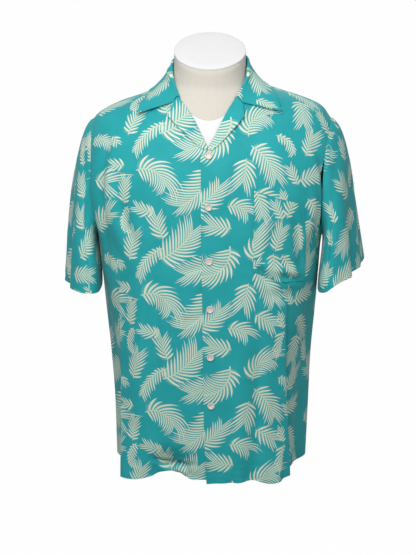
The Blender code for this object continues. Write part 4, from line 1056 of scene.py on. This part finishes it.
# ---------------------------------------------------------------- print of palm fronds
# Each of these is a part of the print that repeats. A lapel is cut from its own front's part
# and the back from the left front's. A row is one frond, all in mm: x and y of its stalk end,
# x and y of its tip, how far its leaflets reach on its left and on its right, and its bend to
# the left.
REPEAT_HEIGHT = 0.231
REPEAT_WIDTH = {"right": 0.270, "left": 0.295, "pocket": 0.150, "right sleeve": 0.240,
                "left sleeve": 0.250, "collar": 0.460}
FRONDS = {
    "right": (
        (-150, 100, -142, 159, 13, 13, 0),
        (-92, 85, -137, 95, 13, 13, 2),
        (-78, 36, -91, 90, 19, 16, 2),
        (-144, 92, -156, 28, 15, 4, -9),
        (-146, -5, -128, 64, 17, 17, 0),
        (-84, -2, 0, 70, 30, 28, -7),
        (-83, 16, -146, -56, 17, 8, -8),
        (6, 165, -63, 70, 20, 34, 12),
        (16, 0, -58, -44, 21, 27, 6),
        (-121, 160, -50, 122, 26, 25, 13),
        (-226, 211, -164, 204, 11, 15, 8),
        (-148, 168, -180, 167, 11, 13, 0),
        (-216, 140, -168, 134, 28, 26, 0),
        (-232, 45, -160, 96, 24, 18, 0),
        (-178, 221, -161, 204, 9, 9, 0),
    ),
    "left": (
        (-28, 94, 44, 150, 18, 23, -6),
        (39, 96, 86, 80, 19, 19, 4),
        (43, 55, -10, 65, 19, 20, 0),
        (42, 17, -57, -42, 22, 37, 26),
        (76, 180, 64, 124, 21, 24, 0),
        (90, 202, 140, 122, 22, 22, 5),
        (169, 130, 148, 170, 11, 11, 0),
        (197, 61, 190, -6, 20, 20, 0),
        (250, -7, 226, 50, 11, 11, 0),
        (137, 220, 174, 174, 6, 14, 8),
        (188, 182, 216, 233, 15, 22, 0),
        (175, 137, 238, 150, 18, 17, 0),
        (84, -6, 136, 42, 24, 24, 11),
        (193, 100, 236, 32, 16, 16, 3),
        (91, 120, 138, 87, 19, 19, 0),
        (145, 88, 138, 126, 9, 8, 0),
        (147, 80, 136, 28, 5, 15, -3),
    ),
    "pocket": (
        (87, 590, 101, 522, 17, 15, 2),
        (145, 535, 171, 595, 15, 13, 0),
        (135, 533, 116, 575, 11, 11, 0),
        (76, 463, 85, 529, 32, 32, 0),
        (122, 474, 140, 530, 17, 15, 0),
        (170, 518, 178, 453, 6, 17, 0),
        (118, 467, 117, 412, 17, 15, 0),
        (136, 463, 168, 407, 11, 11, 0),
        (77, 446, 96, 458, 9, 8, 0),
    ),
    "right sleeve": (
        (361, 119, 333, 158, 17, 19, 2),
        (359, 65, 404, 132, 20, 20, 0),
        (347, 28, 408, 40, 17, 18, 0),
        (400, 0, 384, 14, 9, 9, 0),
        (312, 230, 266, 285, 10, 10, 0),
        (339, 174, 309, 219, 15, 15, 0),
        (450, 150, 436, 205, 15, 15, 0),
        (470, 60, 440, 108, 18, 16, 6),
        (280, 150, 270, 95, 15, 14, -3),
        (300, 60, 282, 10, 14, 14, 0),
        (455, 20, 485, 5, 12, 12, 0),
        (148, 156, 160, 218, 17, 16, 3),
        (22, 222, 8, 162, 16, 17, -3),
        (58, 76, 94, 124, 15, 14, 0),
        (232, 106, 241, 148, 12, 12, 0),
        (98, 210, 132, 227, 11, 12, 0),
        (176, 60, 178, 92, 10, 10, 0),
        (50, 166, 54, 196, 10, 10, 0),
    ),
    "left sleeve": (
        (-324, 150, -351, 199, 17, 19, 0),
        (-297, 112, -406, 46, 22, 21, -6),
        (-417, -2, -325, 26, 24, 24, 0),
        (-459, 15, -411, 49, 17, 17, 0),
        (-311, 218, -297, 263, 13, 13, 0),
        (-240, 60, -262, 120, 16, 16, 0),
        (-250, 180, -228, 225, 13, 13, 0),
        (-446, 130, -420, 185, 15, 15, 3),
        (-262, 10, -244, 40, 11, 11, 0),
        (-380, 120, -392, 165, 13, 12, 0),
        (44, 56, 64, 114, 16, 17, 3),
        (194, 166, 228, 202, 14, 14, 0),
        (24, 126, 13, 170, 12, 12, 0),
        (204, 46, 230, 82, 13, 12, -2),
        (38, 194, 66, 216, 11, 12, 0),
        (96, 80, 97, 112, 11, 11, 0),
        (224, 140, 238, 166, 10, 10, 0),
    ),
    "collar": (
        (64, 41, -2, 96, 15, 15, 0),
        (340, 41, 402, 81, 17, 17, 0),
        (413, 65, 427, 105, 11, 11, 0),
        (130, 90, 180, 70, 15, 14, 3),
        (230, 40, 200, 85, 14, 13, 0),
        (270, 95, 315, 75, 14, 14, 0),
        (100, 20, 140, 30, 11, 11, 0),
        (290, 15, 250, 22, 11, 11, 0),
        (30, 104, 74, 88, 12, 12, 0),
        (36, 20, 70, 8, 10, 10, 0),
        (380, 16, 430, 30, 11, 11, 0),
        (326, 114, 370, 104, 13, 13, 0),
        (212, 118, 252, 106, 12, 12, 0),
        (86, 50, 114, 78, 12, 13, 0),
        (160, 36, 196, 50, 12, 12, 2),
    ),
}
RIB_SHARE = 0.74         # the midrib ends here, and its last leaflets reach on to the tip
LEAFLET_REACH = 1.14     # a leaflet's thin end runs on past the outline charted
# The finest leaflets are about 3 mm apart, too fine to show. A small frond's are drawn as coarse
# as they need to show, and those of a long one stand further apart by a share of its length.
LEAST_SPACING = 0.0052
SPACING_SHARE = 0.012
LEAST_BEND = 0.02        # share of its length by which even a straight midrib is bent
SEED_STEP = 7.0          # leaflet numbers between one frond's uneven lengths and the next's
# Each step of a frond's working: its name, what is done, and with what. A place is measured
# from the middle of the circle its midrib lies on, in lengths of the midrib.
FROND_STEPS = (
    ("turn", "ARCTAN2", "x", "y"),
    ("along", "MULTIPLY_ADD", "turn", "curve", 0.5),
    ("x squared", "MULTIPLY", "x", "x"),
    ("squares", "MULTIPLY_ADD", "y", "y", "x squared"),
    ("radius", "SQRT", "squares"),
    ("across", "SUBTRACT", "radius", "curve"),
    ("side", "SIGN", "across"),
    ("away", "ABSOLUTE", "across"),
    # a leaflet sweeps forward from its root, more so further out and nearer the tip
    ("curl", "MULTIPLY_ADD", "away", 0.7, 0.1),
    ("sweep", "MULTIPLY", "away", "curl"),
    ("behind", "SUBTRACT", "along", "sweep"),
    ("fan", "MULTIPLY_ADD", "away", 1.9, 1.0),
    ("root", "DIVIDE", "behind", "fan"),
    # the leaflets of the two sides are staggered, and no two are as long
    ("stagger", "MULTIPLY_ADD", "side", 0.25, "seed"),
    ("number", "MULTIPLY_ADD", "root", "leaflets", "stagger"),
    ("whole", "ROUND", "number"),
    ("angle", "MULTIPLY", "whole", 2.3),
    ("chance", "SINE", "angle"),
    # long near the stalk, a little shorter at the very root and towards the tip
    ("fall", "MULTIPLY_ADD", "root", -1.5, 1.1),
    ("outline", "MULTIPLY_ADD", "root", "fall", 0.78),
    ("on the rib", "COMPARE", "root", 0.5, 0.5),
    ("uneven", "MULTIPLY_ADD", "chance", 0.13, 1.0),
    ("lopped", "MULTIPLY_ADD", "side", "lopsided", 1.0),
    ("reach 1", "MULTIPLY", "reach", "outline"),
    ("reach 2", "MULTIPLY", "reach 1", "uneven"),
    ("reach 3", "MULTIPLY", "reach 2", "lopped"),
    ("reach 4", "MULTIPLY", "reach 3", "on the rib"),
    ("length", "MAXIMUM", "reach 4", 0.0001),
    ("out", "DIVIDE", "away", "length"),
    # a leaflet fills most of its spacing at the root and runs out to a point
    ("out squared", "POWER", "out", 3.0),
    ("width", "MULTIPLY_ADD", "out squared", -0.64, 0.64),
    ("swing", "PINGPONG", "number", 0.5),
    ("space", "MULTIPLY_ADD", "swing", -2.0, "width"),
    ("stroke", "MULTIPLY", "space", 6.0),
    ("heart", "MULTIPLY_ADD", "out", -1.1, 1.0),
    # the midrib is a hair line
    ("line", "MULTIPLY_ADD", "away", -80.0, 1.3),
    ("beside", "COMPARE", "along", 0.45, 0.5),
    ("rib", "MULTIPLY", "line", "beside"),
    ("ink", "MAXIMUM", "stroke", "rib"),
)
KEPT_WITHIN_1 = ("stroke", "heart", "line")
# A frond's own measures: its circle's radius in lengths, how many leaflets a side has, how far
# they reach, how much further on one side, and where its uneven lengths start.
FROND_MEASURES = ("curve", "leaflets", "reach", "lopsided", "seed")


def frond_group():
    """Leaflet strokes on both sides of a bent midrib."""
    tree = bpy.data.node_groups.new("frond", "ShaderNodeTree")
    tree.interface.new_socket("place", in_out="INPUT", socket_type="NodeSocketVector")
    for name in FROND_MEASURES:
        tree.interface.new_socket(name, in_out="INPUT", socket_type="NodeSocketFloat")
    tree.interface.new_socket("ink and heart", in_out="OUTPUT", socket_type="NodeSocketVector")
    given = add(tree, "NodeGroupInput")
    split = add(tree, "ShaderNodeSeparateXYZ", {0: given["place"]})
    worked = {name: given[name] for name in FROND_MEASURES}
    worked.update(x=split["X"], y=split["Y"])
    for name, operation, *values in FROND_STEPS:
        inputs = {socket: worked.get(value, value) for socket, value in enumerate(values)}
        worked[name] = add(tree, "ShaderNodeMath", inputs, operation=operation,
                           use_clamp=name in KEPT_WITHIN_1)[0]
    both = add(tree, "ShaderNodeCombineXYZ", {0: worked["ink"], 1: worked["heart"]})
    add(tree, "NodeGroupOutput", {0: both[0]})
    return tree


def frond_circle(stalk, tip, bend):
    """The circle a bent midrib lies on: its middle, its turn either way, its radius."""
    span = (tip - stalk) * RIB_SHARE
    chord = float(np.hypot(*span))
    ahead = span / chord
    leftward = np.array((-ahead[1], ahead[0])) * (-1 if bend < 0 else 1)
    rise = max(abs(bend), LEAST_BEND * chord)
    half_turn = 2 * float(np.arctan2(2 * rise, chord))
    radius = (chord**2 / 4 + rise**2) / (2 * rise)
    return stalk + span / 2 + leftward * (rise - radius), half_turn, radius


def frond_place(tree, cloth_place, part, stalk, tip, bend):
    """Places on the cut cloth, measured from the circle of one repeated frond's midrib."""
    half_repeat = np.array((REPEAT_WIDTH[part], REPEAT_HEIGHT)) / 2
    high = (stalk + tip) / 2 + half_repeat
    low = high - half_repeat * 2
    repeated = add(tree, "ShaderNodeVectorMath",
                   {0: cloth_place, 1: (*high, 1), 2: (*low, -1)}, operation="WRAP")[0]
    middle, half_turn, radius = frond_circle(stalk, tip, bend)
    length = 2 * half_turn * radius
    ahead = tip - stalk
    sense = -1 if bend < 0 else 1
    place = add(tree, "ShaderNodeMapping", {
        "Vector": repeated, "Location": (*middle, 0), "Scale": (length, length * sense, 1),
        "Rotation": (0, 0, np.arctan2(ahead[1], ahead[0]))}, vector_type="TEXTURE")[0]
    return place, length, radius / length


def frond_print(tree, group, part):
    """Ink and hearts of one part of the print, over its places on the cut cloth."""
    cloth_place = add(tree, "ShaderNodeUVMap", uv_map="cut cloth")[0]
    printed = None
    for number, frond in enumerate(FRONDS[part]):
        measures = np.array(frond) / 1000
        left, right, bend = measures[4:]
        place, length, curve = frond_place(tree, cloth_place, part, measures[:2],
                                           measures[2:4], bend)
        lopsided = (left - right) / (left + right)
        made = add(tree, "ShaderNodeGroup", {
            "place": place, "curve": curve,
            "leaflets": round(length / (LEAST_SPACING + SPACING_SHARE * length)),
            "reach": (left + right) / 2 * LEAFLET_REACH / length,
            "lopsided": -lopsided if bend < 0 else lopsided,
            "seed": number * SEED_STEP}, node_tree=group)[0]
        if printed is not None:
            made = add(tree, "ShaderNodeVectorMath", {0: printed, 1: made},
                       operation="MAXIMUM")[0]
        printed = made
    return cloth_place, printed


# ---------------------------------------------------------------- materials
CRUMPLE_SHADE_PATCH = 45.5         # mm, patches of painted shade and light that stand for small crumples in the cloth
WEAVE_GRAIN = 1.111      # mm, threads 0.3 mm apart, drawn as coarse as they need to show
HEART_SHOWS = 0.45       # how much of the heart's mint lies between its leaflets
PEARL_BAND = 3.5         # mm, width of the milky bands across a button
SPRAY_PATCH = 40.0       # mm, where the sprayed coat is a little thicker
SPRAY_GRAIN = 2.2        # mm, orange peel of about 1 mm, drawn as coarse as it needs to show
SLUB_WIDTH = 3.0         # mm, thick threads 1 mm apart, drawn as coarse as they need to show
SLUB_LENGTH = 30.0       # mm, along the neck


def per_metre(millimetres):
    """Texture scale at which one noise patch measures this much."""
    return 1000 / millimetres


def printed_rayon(group, part):
    """Rayon, woven and printed: soft and limp, with a faint sheen; its teal is mottled with
    painted shade and light that stand for small crumples.

    The ink is opaque cream at the leaflets' ends and thins to mint over each frond's heart.
    """
    made, tree = new_material("rayon, woven and printed, " + part)
    place, printed = frond_print(tree, group, part)
    split = add(tree, "ShaderNodeSeparateXYZ", {0: printed})
    # painted shade and light: noise patches darken and lighten the teal between #129CA2 and
    # #2CB3B7, standing for the shade of small crumples
    crumple_shade = add(tree, "ShaderNodeTexNoise", {"Vector": place, "Scale": per_metre(CRUMPLE_SHADE_PATCH),
                                             "Detail": 3.0})[0]
    dye_and_shade = add(tree, "ShaderNodeMix", {"Factor": crumple_shade, 6: linear("#129CA2"),
                                      7: linear("#2CB3B7")}, data_type="RGBA")[2]
    mint = add(tree, "ShaderNodeMath", {0: split["Y"], 1: HEART_SHOWS},
               operation="MULTIPLY")[0]
    dye_and_shade = add(tree, "ShaderNodeMix", {"Factor": mint, 6: dye_and_shade, 7: linear("#8FD0C0")},
              data_type="RGBA")[2]
    ink = add(tree, "ShaderNodeMix", {"Factor": split["Y"], 6: linear("#F2F0DC"),
                                      7: linear("#D2E2CC")}, data_type="RGBA")[2]
    colour = add(tree, "ShaderNodeMix", {"Factor": split["X"], 6: dye_and_shade, 7: ink},
                 data_type="RGBA")[2]
    weave = add(tree, "ShaderNodeTexNoise", {"Vector": place, "Scale": per_metre(WEAVE_GRAIN),
                                             "Detail": 1.0})[0]
    bump = add(tree, "ShaderNodeBump", {"Height": weave, "Strength": 0.12,
                                        "Distance": 0.0004})[0]
    shader = add(tree, "ShaderNodeBsdfPrincipled", {
        "Base Color": colour, "Roughness": 0.72, "Normal": bump, "Specular IOR Level": 0.3,
        "Sheen Weight": 0.10, "Sheen Roughness": 0.45})[0]
    add(tree, "ShaderNodeOutputMaterial", {"Surface": shader})
    return made


def pearl_shell():
    """Pearl shell, turned and polished: milky bands drift under a soft gloss."""
    made, tree = new_material("pearl shell, turned and polished")
    place = add(tree, "ShaderNodeTexCoord")["Object"]
    bands = add(tree, "ShaderNodeTexNoise", {"Vector": place, "Scale": per_metre(PEARL_BAND),
                                             "Detail": 1.0, "Distortion": 1.2})[0]
    colour = add(tree, "ShaderNodeMix", {"Factor": bands, 6: linear("#CFC4B7"),
                                         7: linear("#EBE6DE")}, data_type="RGBA")[2]
    shader = add(tree, "ShaderNodeBsdfPrincipled", {
        "Base Color": colour, "Roughness": 0.28, "IOR": 1.53, "Coat Weight": 0.15,
        "Coat Roughness": 0.1})[0]
    add(tree, "ShaderNodeOutputMaterial", {"Surface": shader})
    return made


def sprayed_foam():
    """Rigid foam, sprayed matt white: almost flat, with a faint grain and thicker patches."""
    made, tree = new_material("rigid foam, sprayed matt white")
    place = add(tree, "ShaderNodeTexCoord")["Object"]
    patch = add(tree, "ShaderNodeTexNoise", {"Vector": place,
                                             "Scale": per_metre(SPRAY_PATCH)})[0]
    colour = add(tree, "ShaderNodeMix", {"Factor": patch, 6: linear("#EEEDEC"),
                                         7: linear("#F2F3F4")}, data_type="RGBA")[2]
    grain = add(tree, "ShaderNodeTexNoise", {"Vector": place,
                                             "Scale": per_metre(SPRAY_GRAIN)})[0]
    bump = add(tree, "ShaderNodeBump", {"Height": grain, "Strength": 0.1,
                                        "Distance": 0.0002})[0]
    shader = add(tree, "ShaderNodeBsdfPrincipled", {
        "Base Color": colour, "Roughness": 0.6, "Normal": bump})[0]
    add(tree, "ShaderNodeOutputMaterial", {"Surface": shader})
    return made


def neck_cotton():
    """Cotton, woven and stretched over the neck: warm and dry, with slubs that run upright."""
    made, tree = new_material("cotton, woven and stretched")
    place = add(tree, "ShaderNodeTexCoord")["Object"]
    upright = add(tree, "ShaderNodeMapping", {
        "Vector": place, "Scale": (1, 1, SLUB_WIDTH / SLUB_LENGTH)})[0]
    slubs = add(tree, "ShaderNodeTexNoise", {"Vector": upright, "Scale": per_metre(SLUB_WIDTH),
                                             "Detail": 3.0})[0]
    colour = add(tree, "ShaderNodeMix", {"Factor": slubs, 6: linear("#D7D0C4"),
                                         7: linear("#E2DCD3")}, data_type="RGBA")[2]
    bump = add(tree, "ShaderNodeBump", {"Height": slubs, "Strength": 0.06,
                                        "Distance": 0.0003})[0]
    shader = add(tree, "ShaderNodeBsdfPrincipled", {
        "Base Color": colour, "Roughness": 0.75, "Normal": bump,
        "Specular IOR Level": 0.3})[0]
    add(tree, "ShaderNodeOutputMaterial", {"Surface": shader})
    return made


# ---------------------------------------------------------------- the cloth's pieces
def make_fronts(fronts, front_grids, body_creases, rayon):
    """Both fronts' cloth, from each side's fine surface and its flat cloth."""
    for side, (_, front_flat) in fronts.items():
        grid, flat = mirrored(side, front_grids[side], front_flat)
        made = cloth(side + "_front_cloth", side + "_front", creased(grid, body_creases), flat,
                     rayon[side])


def make_back(finish):
    """The back's cloth. Gives its fine grid of (arc, height)."""
    domain = back_domain()
    solid = back_point(domain[..., 0], domain[..., 1], WALL / 2)
    flat = finer_panel(laid_flat(solid, domain))[:, ::-1] * (-1, 1)
    fine = finer_panel(domain)
    grid = back_point(fine[..., 0], fine[..., 1], MIDDLE)[:, ::-1]
    grid = creased(grid, crease_lines([grid], BACK_CREASES))
    made = cloth("back_cloth", "back", grid, flat, finish)
    return fine


def opened_flat(opened):
    """Flat cloth of a sleeve that is cut open along its underarm."""
    rows, columns = SLEEVE_FINER
    across = np.linalg.norm(np.diff(opened, axis=1), axis=-1).mean(axis=0)
    up = np.linalg.norm(np.diff(opened, axis=0), axis=-1).mean(axis=1)
    places = np.meshgrid(np.cumsum(np.r_[0, across]), np.cumsum(np.r_[0, up]))
    few = laid_flat(opened[::rows, ::columns], np.stack(places, -1)[::rows, ::columns])
    return finer_both(few, SLEEVE_FINER)


def make_sleeve(side, front_fine, back_fine, finish):
    """A sleeve's cloth, closed round, with its seam along the underarm."""
    armhole = BELOW_ARMHOLE * FINER_ROWS
    back_edge = back_fine[armhole:, 0 if side == "right" else -1]
    shares = finer(np.array(SLEEVE_ROWS), SLEEVE_FINER[0], 0)
    tube = sleeve_grid(side, front_fine[armhole:, -1], back_edge, shares)
    opened = np.roll(tube, tube.shape[1] // 2, axis=1)
    opened = np.concatenate((opened, opened[:, :1]), axis=1)
    flat = opened_flat(opened)
    if side == "left":
        opened = opened[:, ::-1]
        flat = flat[:, ::-1] * (-1, 1)
    grid = creased(opened, crease_lines([opened], SLEEVE_CREASES[side]))[:, :-1]
    made = cloth(side + "_sleeve_cloth", side + "_sleeve", grid, flat, finish,
                 closed_round=True)


def make_collar(finish):
    """The collar's cloth, with its fall cleared off the shirt between its two ends."""
    rows = collar_grid()
    grid = finer_both(rows, COLLAR_FINER)
    fall = slice(FOLD_ROW * COLLAR_FINER[0] + 1, None)
    between = slice(1, -1)
    grid[fall, between] = above_body(grid[fall, between], WALL + COLLAR_CLEAR)
    middle = rows.shape[1] // 2
    lengths = np.linalg.norm(np.diff(rows[FOLD_ROW], axis=0), axis=-1)
    rises = np.linalg.norm(np.diff(rows[:, middle], axis=0), axis=-1)
    places = np.meshgrid(np.cumsum(np.r_[0, lengths]), np.cumsum(np.r_[0, rises]))
    flat = finer_both(laid_flat(rows, np.stack(places, -1)), COLLAR_FINER)
    made = cloth("collar_cloth", "collar", grid, flat, finish)


def make_lapel(side, body_creases, finish):
    """A lapel's cloth, its first columns rolled round the front's edge."""
    grid = lapel_grid(side)
    rolled = len(LAPEL_ROLL)
    inward = 1 if side == "right" else -1
    start = grid[..., (0, 2)]
    past = LAPEL_ROLL_STEP * np.arange(rolled, 0, -1)
    start[:, :rolled, 0] = start[:, rolled:rolled + 1, 0] + inward * past
    grid, flat = mirrored(side, grid, laid_flat(grid, start))
    made = cloth(side + "_lapel_cloth", side + "_lapel", creased(grid, body_creases), flat,
                 finish)


def pocket_grid():
    """The pocket's middle surface over the left front, rows up and columns outwards."""
    x = dict(zip(POCKET["corner"], POCKET["x"]))
    z = dict(zip(POCKET["corner"], POCKET["height"]))
    out, up = np.meshgrid(np.linspace(0, 1, POCKET_COLUMNS + 1),
                          np.linspace(0, 1, POCKET_ROWS + 1))
    foot_x = mix(x["bottom_inner"], x["bottom_outer"], out)
    foot_z = mix(z["bottom_inner"], z["bottom_outer"], out)
    foot_z -= POCKET_POINT * (1 - np.abs(2 * out - 1))
    top_x = mix(x["top_inner"], x["top_outer"], out)
    top_z = mix(z["top_inner"], z["top_outer"], out)
    return front_view_point("left", mix(foot_x, top_x, up), mix(foot_z, top_z, up), POCKET_LIFT)


def make_pocket(body_creases, finish):
    """The chest pocket's cloth, laid on the left front and creased with it."""
    rows, columns = POCKET_FINER
    grid = pocket_grid()
    few = grid[::rows, ::columns]
    flat = finer_both(laid_flat(few, few[..., (0, 2)]), POCKET_FINER)
    made = cloth("chest_pocket_cloth", "chest_pocket", creased(grid, body_creases), flat,
                 finish)


def make_shirt():
    """Every piece of the shirt's cloth, each cut from its part of the print."""
    group = frond_group()
    rayon = {part: printed_rayon(group, part) for part in FRONDS}
    sides = ("right", "left")
    fronts = {side: front_parts(side) for side in sides}
    front_grids = {side: front_point(side, fine[..., 0], fine[..., 1], MIDDLE)
                   for side, (fine, _) in fronts.items()}
    faces = [mirrored(side, front_grids[side])[0] for side in sides]
    body_creases = crease_lines(faces, BODY_CREASES)
    make_fronts(fronts, front_grids, body_creases, rayon)
    back_fine = make_back(rayon["left"])
    for side in sides:
        make_sleeve(side, fronts[side][0], back_fine, rayon[side + " sleeve"])
    make_collar(rayon["collar"])
    for side in sides:
        make_lapel(side, body_creases, rayon[side])
    make_pocket(body_creases, rayon["pocket"])


# ---------------------------------------------------------------- buttons
def button_rings():
    """A button that faces up, its rim raised, its middle dished and its holes sunk."""
    around = np.linspace(0, 2 * np.pi, BUTTON_SIDES, endpoint=False)
    profile = finer(np.array(BUTTON_PROFILE), RINGS_FINER, 0)[:, None]
    share = profile[..., 0]
    reach = share * BUTTON_DIAMETER / 2
    beside = np.exp(-((share - HOLE_PLACE) / HOLE_WIDTH) ** 2)
    holes = np.maximum(0, np.cos(HOLES * around)) ** HOLE_SHARPNESS * beside
    rise = (profile[..., 1] - HOLE_DEPTH * holes) * BUTTON_THICKNESS
    return point(reach * np.cos(around), reach * np.sin(around), rise)


def make_buttons():
    """A button at each height, facing straight out of the left front."""
    pearl = pearl_shell()
    rings = button_rings()
    for number, height in enumerate(BUTTON_HEIGHTS, 1):
        arc = arc_at(along(CENTRE, "shift", height), height, "left", by_x=True)
        base = front_point("left", arc, height, WALL + BUTTON_GAP)
        facing = Vector(body_normal(angle_at_arc(arc, height, "left"), height))
        turn = np.array(facing.to_track_quat("Z", "Y").to_matrix())
        node = "button_%d" % number
        ring_piece("pearl_" + node, node, rings @ turn.T + base, pearl)


# ---------------------------------------------------------------- dress form
ROUND_FORM = np.linspace(0, 2 * np.pi, 144, endpoint=False)
TORSO_HEIGHTS = (0.0, 0.004, 0.010, 0.02, 0.04, 0.075, 0.13, 0.19, 0.26, 0.33, 0.39, 0.44,
                 0.49, 0.53, 0.57, 0.60, 0.63, 0.655, 0.675, 0.69)
TORSO_TOP_SHARES = (0.25, 0.5, 0.75, 1)       # from there up to the slanting neck seam
NECK_GAP = SEAM_GAP * 1.6             # room between that seam and the neck's foot
NECK_SHARES = np.linspace(0, 0.9, 24)         # the neck's rings, from its foot to the cap
# The cap's edge, from its foot over its rounded rim: inset and height.
CAP_EDGE = ((0.0, 0.0), (0.0, 0.0032), (0.0002, 0.0037), (0.0008, 0.0040), (0.02, 0.0040))


def form_point(angle, height):
    """Point on the form's skin."""
    angle, height = np.broadcast_arrays(angle, height)
    power = along(FORM, "square", height)
    depth = np.where(np.cos(angle) > 0, along(FORM, "front", height),
                     along(FORM, "back", height))
    across = np.abs(np.sin(angle)) / along(FORM, "side", height)
    radius = (across**power + (np.abs(np.cos(angle)) / depth) ** power) ** (-1 / power)
    return point(radius * np.sin(angle), -radius * np.cos(angle), height)


def cap_ring(radius, rise):
    """Ring of the neck's cap, which leans forward."""
    back_up = np.array((0, np.cos(CAP_TILT), np.sin(CAP_TILT)))
    normal = np.array((0, -np.sin(CAP_TILT), np.cos(CAP_TILT)))
    side = point(np.sin(ROUND_FORM) * radius, 0, 0)
    ahead = back_up * (radius * np.cos(ROUND_FORM))[:, None]
    return CAP_CENTRE + normal * rise + side - ahead


def make_form():
    """The dress form: its white torso, its cotton neck and the flat cap."""
    white = sprayed_foam()
    seam_share = np.sin(ROUND_FORM / 2) / NECK_SEAM_WIDTH
    neck_seam = NECK_SEAM_FRONT + NECK_SEAM_RISE * (1 - np.exp(-seam_share**2 / 2))
    heights = list(finer(np.array(TORSO_HEIGHTS), RINGS_FINER, 0))
    heights += [mix(heights[-1], neck_seam, share) for share in TORSO_TOP_SHARES]
    torso = [form_point(ROUND_FORM, height) for height in heights]
    ring_piece("torso_shell", "form_torso", torso, white)
    top = cap_ring(CAP_RADIUS, -SEAM_GAP)
    neck = [form_point(ROUND_FORM, mix(neck_seam + NECK_GAP, top[:, 2], share))
            for share in NECK_SHARES]
    ring_piece("neck_shell", "form_neck", neck + [top], neck_cotton())
    cap = [cap_ring(CAP_RADIUS - inset, rise) for inset, rise in CAP_EDGE]
    ring_piece("neck_cap", "form_neck_cap", cap, white)


# ---------------------------------------------------------------- floor, lights and camera
FLOOR_REACH = 20.0        # from the middle to each edge
FLOOR_SEEN_WHITE = 0.99   # share of pure white the camera sees on the floor
WORLD_FILL = 0.36         # how strong the even light from all round is
# Each lamp: its name, its place, what it faces, its width in metres and its watts.
LAMPS = (
    ("key", (-0.3, -1.5, 1.82), (0, 0, 0.75), 1.2, 28),
    ("fill", (1.6, -2.6, 1.8), (0, 0, 0.5), 1.6, 8),
    ("behind", (0.4, 2.6, 1.5), (0, 0, 0.4), 1.6, 18),
)
CAMERA_PLACE = (0.0875, -3.4798, 1.4422)
CAMERA_FACES = (-0.0036, 0, 0.378)
CAMERA_LENS = 122.85      # mm, on a sensor 36 mm high
CAMERA_SENSOR = 36


def make_floor():
    """Matt grey paper that the camera sees as white, with a little of the shadow kept."""
    made, tree = new_material("paper, matt, pale floor")
    camera_ray = add(tree, "ShaderNodeLightPath")["Is Camera Ray"]
    matt = add(tree, "ShaderNodeBsdfDiffuse", {"Color": linear("#9A9A9A")})[0]
    glow = add(tree, "ShaderNodeEmission", {"Color": linear("#FFFFFF"), "Strength": 1.0})[0]
    share = add(tree, "ShaderNodeMath", {0: camera_ray, 1: FLOOR_SEEN_WHITE},
                operation="MULTIPLY")[0]
    surface = add(tree, "ShaderNodeMixShader", {0: share, 1: matt, 2: glow})[0]
    add(tree, "ShaderNodeOutputMaterial", {"Surface": surface})
    low = -FLOOR_REACH
    high = FLOOR_REACH
    points = [(low, low, 0), (high, low, 0), (high, high, 0), (low, high, 0)]
    add_piece("floor", points, [(0, 1, 2, 3)], made)


def make_world():
    """Soft even light all round, seen and mirrored as white."""
    world = bpy.data.worlds.new("studio")
    bpy.context.scene.world = world
    world.use_nodes = True
    tree = world.node_tree
    tree.nodes.clear()
    rays = add(tree, "ShaderNodeLightPath")
    seen = add(tree, "ShaderNodeMath", {0: rays["Is Camera Ray"], 1: rays["Is Glossy Ray"]},
               operation="MAXIMUM")[0]
    fill = add(tree, "ShaderNodeBackground", {"Color": linear("#FFFFFF"),
                                              "Strength": WORLD_FILL})[0]
    white = add(tree, "ShaderNodeBackground", {"Color": linear("#FFFFFF"), "Strength": 1.0})[0]
    both = add(tree, "ShaderNodeMixShader", {0: seen, 1: fill, 2: white})[0]
    add(tree, "ShaderNodeOutputWorld", {"Surface": both})


def place_facing(name, made_of, place, target):
    """A lamp or the camera at its place, aimed at what it faces."""
    made = bpy.data.objects.new(name, made_of)
    made.location = place
    ahead = Vector(target) - Vector(place)
    made.rotation_euler = ahead.to_track_quat("-Z", "Y").to_euler()
    bpy.context.collection.objects.link(made)
    return made


def make_lamps():
    for name, place, target, width, watts in LAMPS:
        lamp = bpy.data.lights.new(name, "AREA")
        lamp.size = width
        lamp.energy = watts
        place_facing(name, lamp, place, target)


def make_camera():
    lens = bpy.data.cameras.new("camera")
    lens.sensor_fit = "VERTICAL"
    lens.sensor_height = CAMERA_SENSOR
    lens.lens = CAMERA_LENS
    bpy.context.scene.camera = place_facing("camera", lens, CAMERA_PLACE, CAMERA_FACES)


# ---------------------------------------------------------------- the whole scene
make_shirt()
make_buttons()
make_form()
make_floor()
make_world()
make_lamps()
make_camera()
bpy.context.scene.view_settings.view_transform = "Standard"
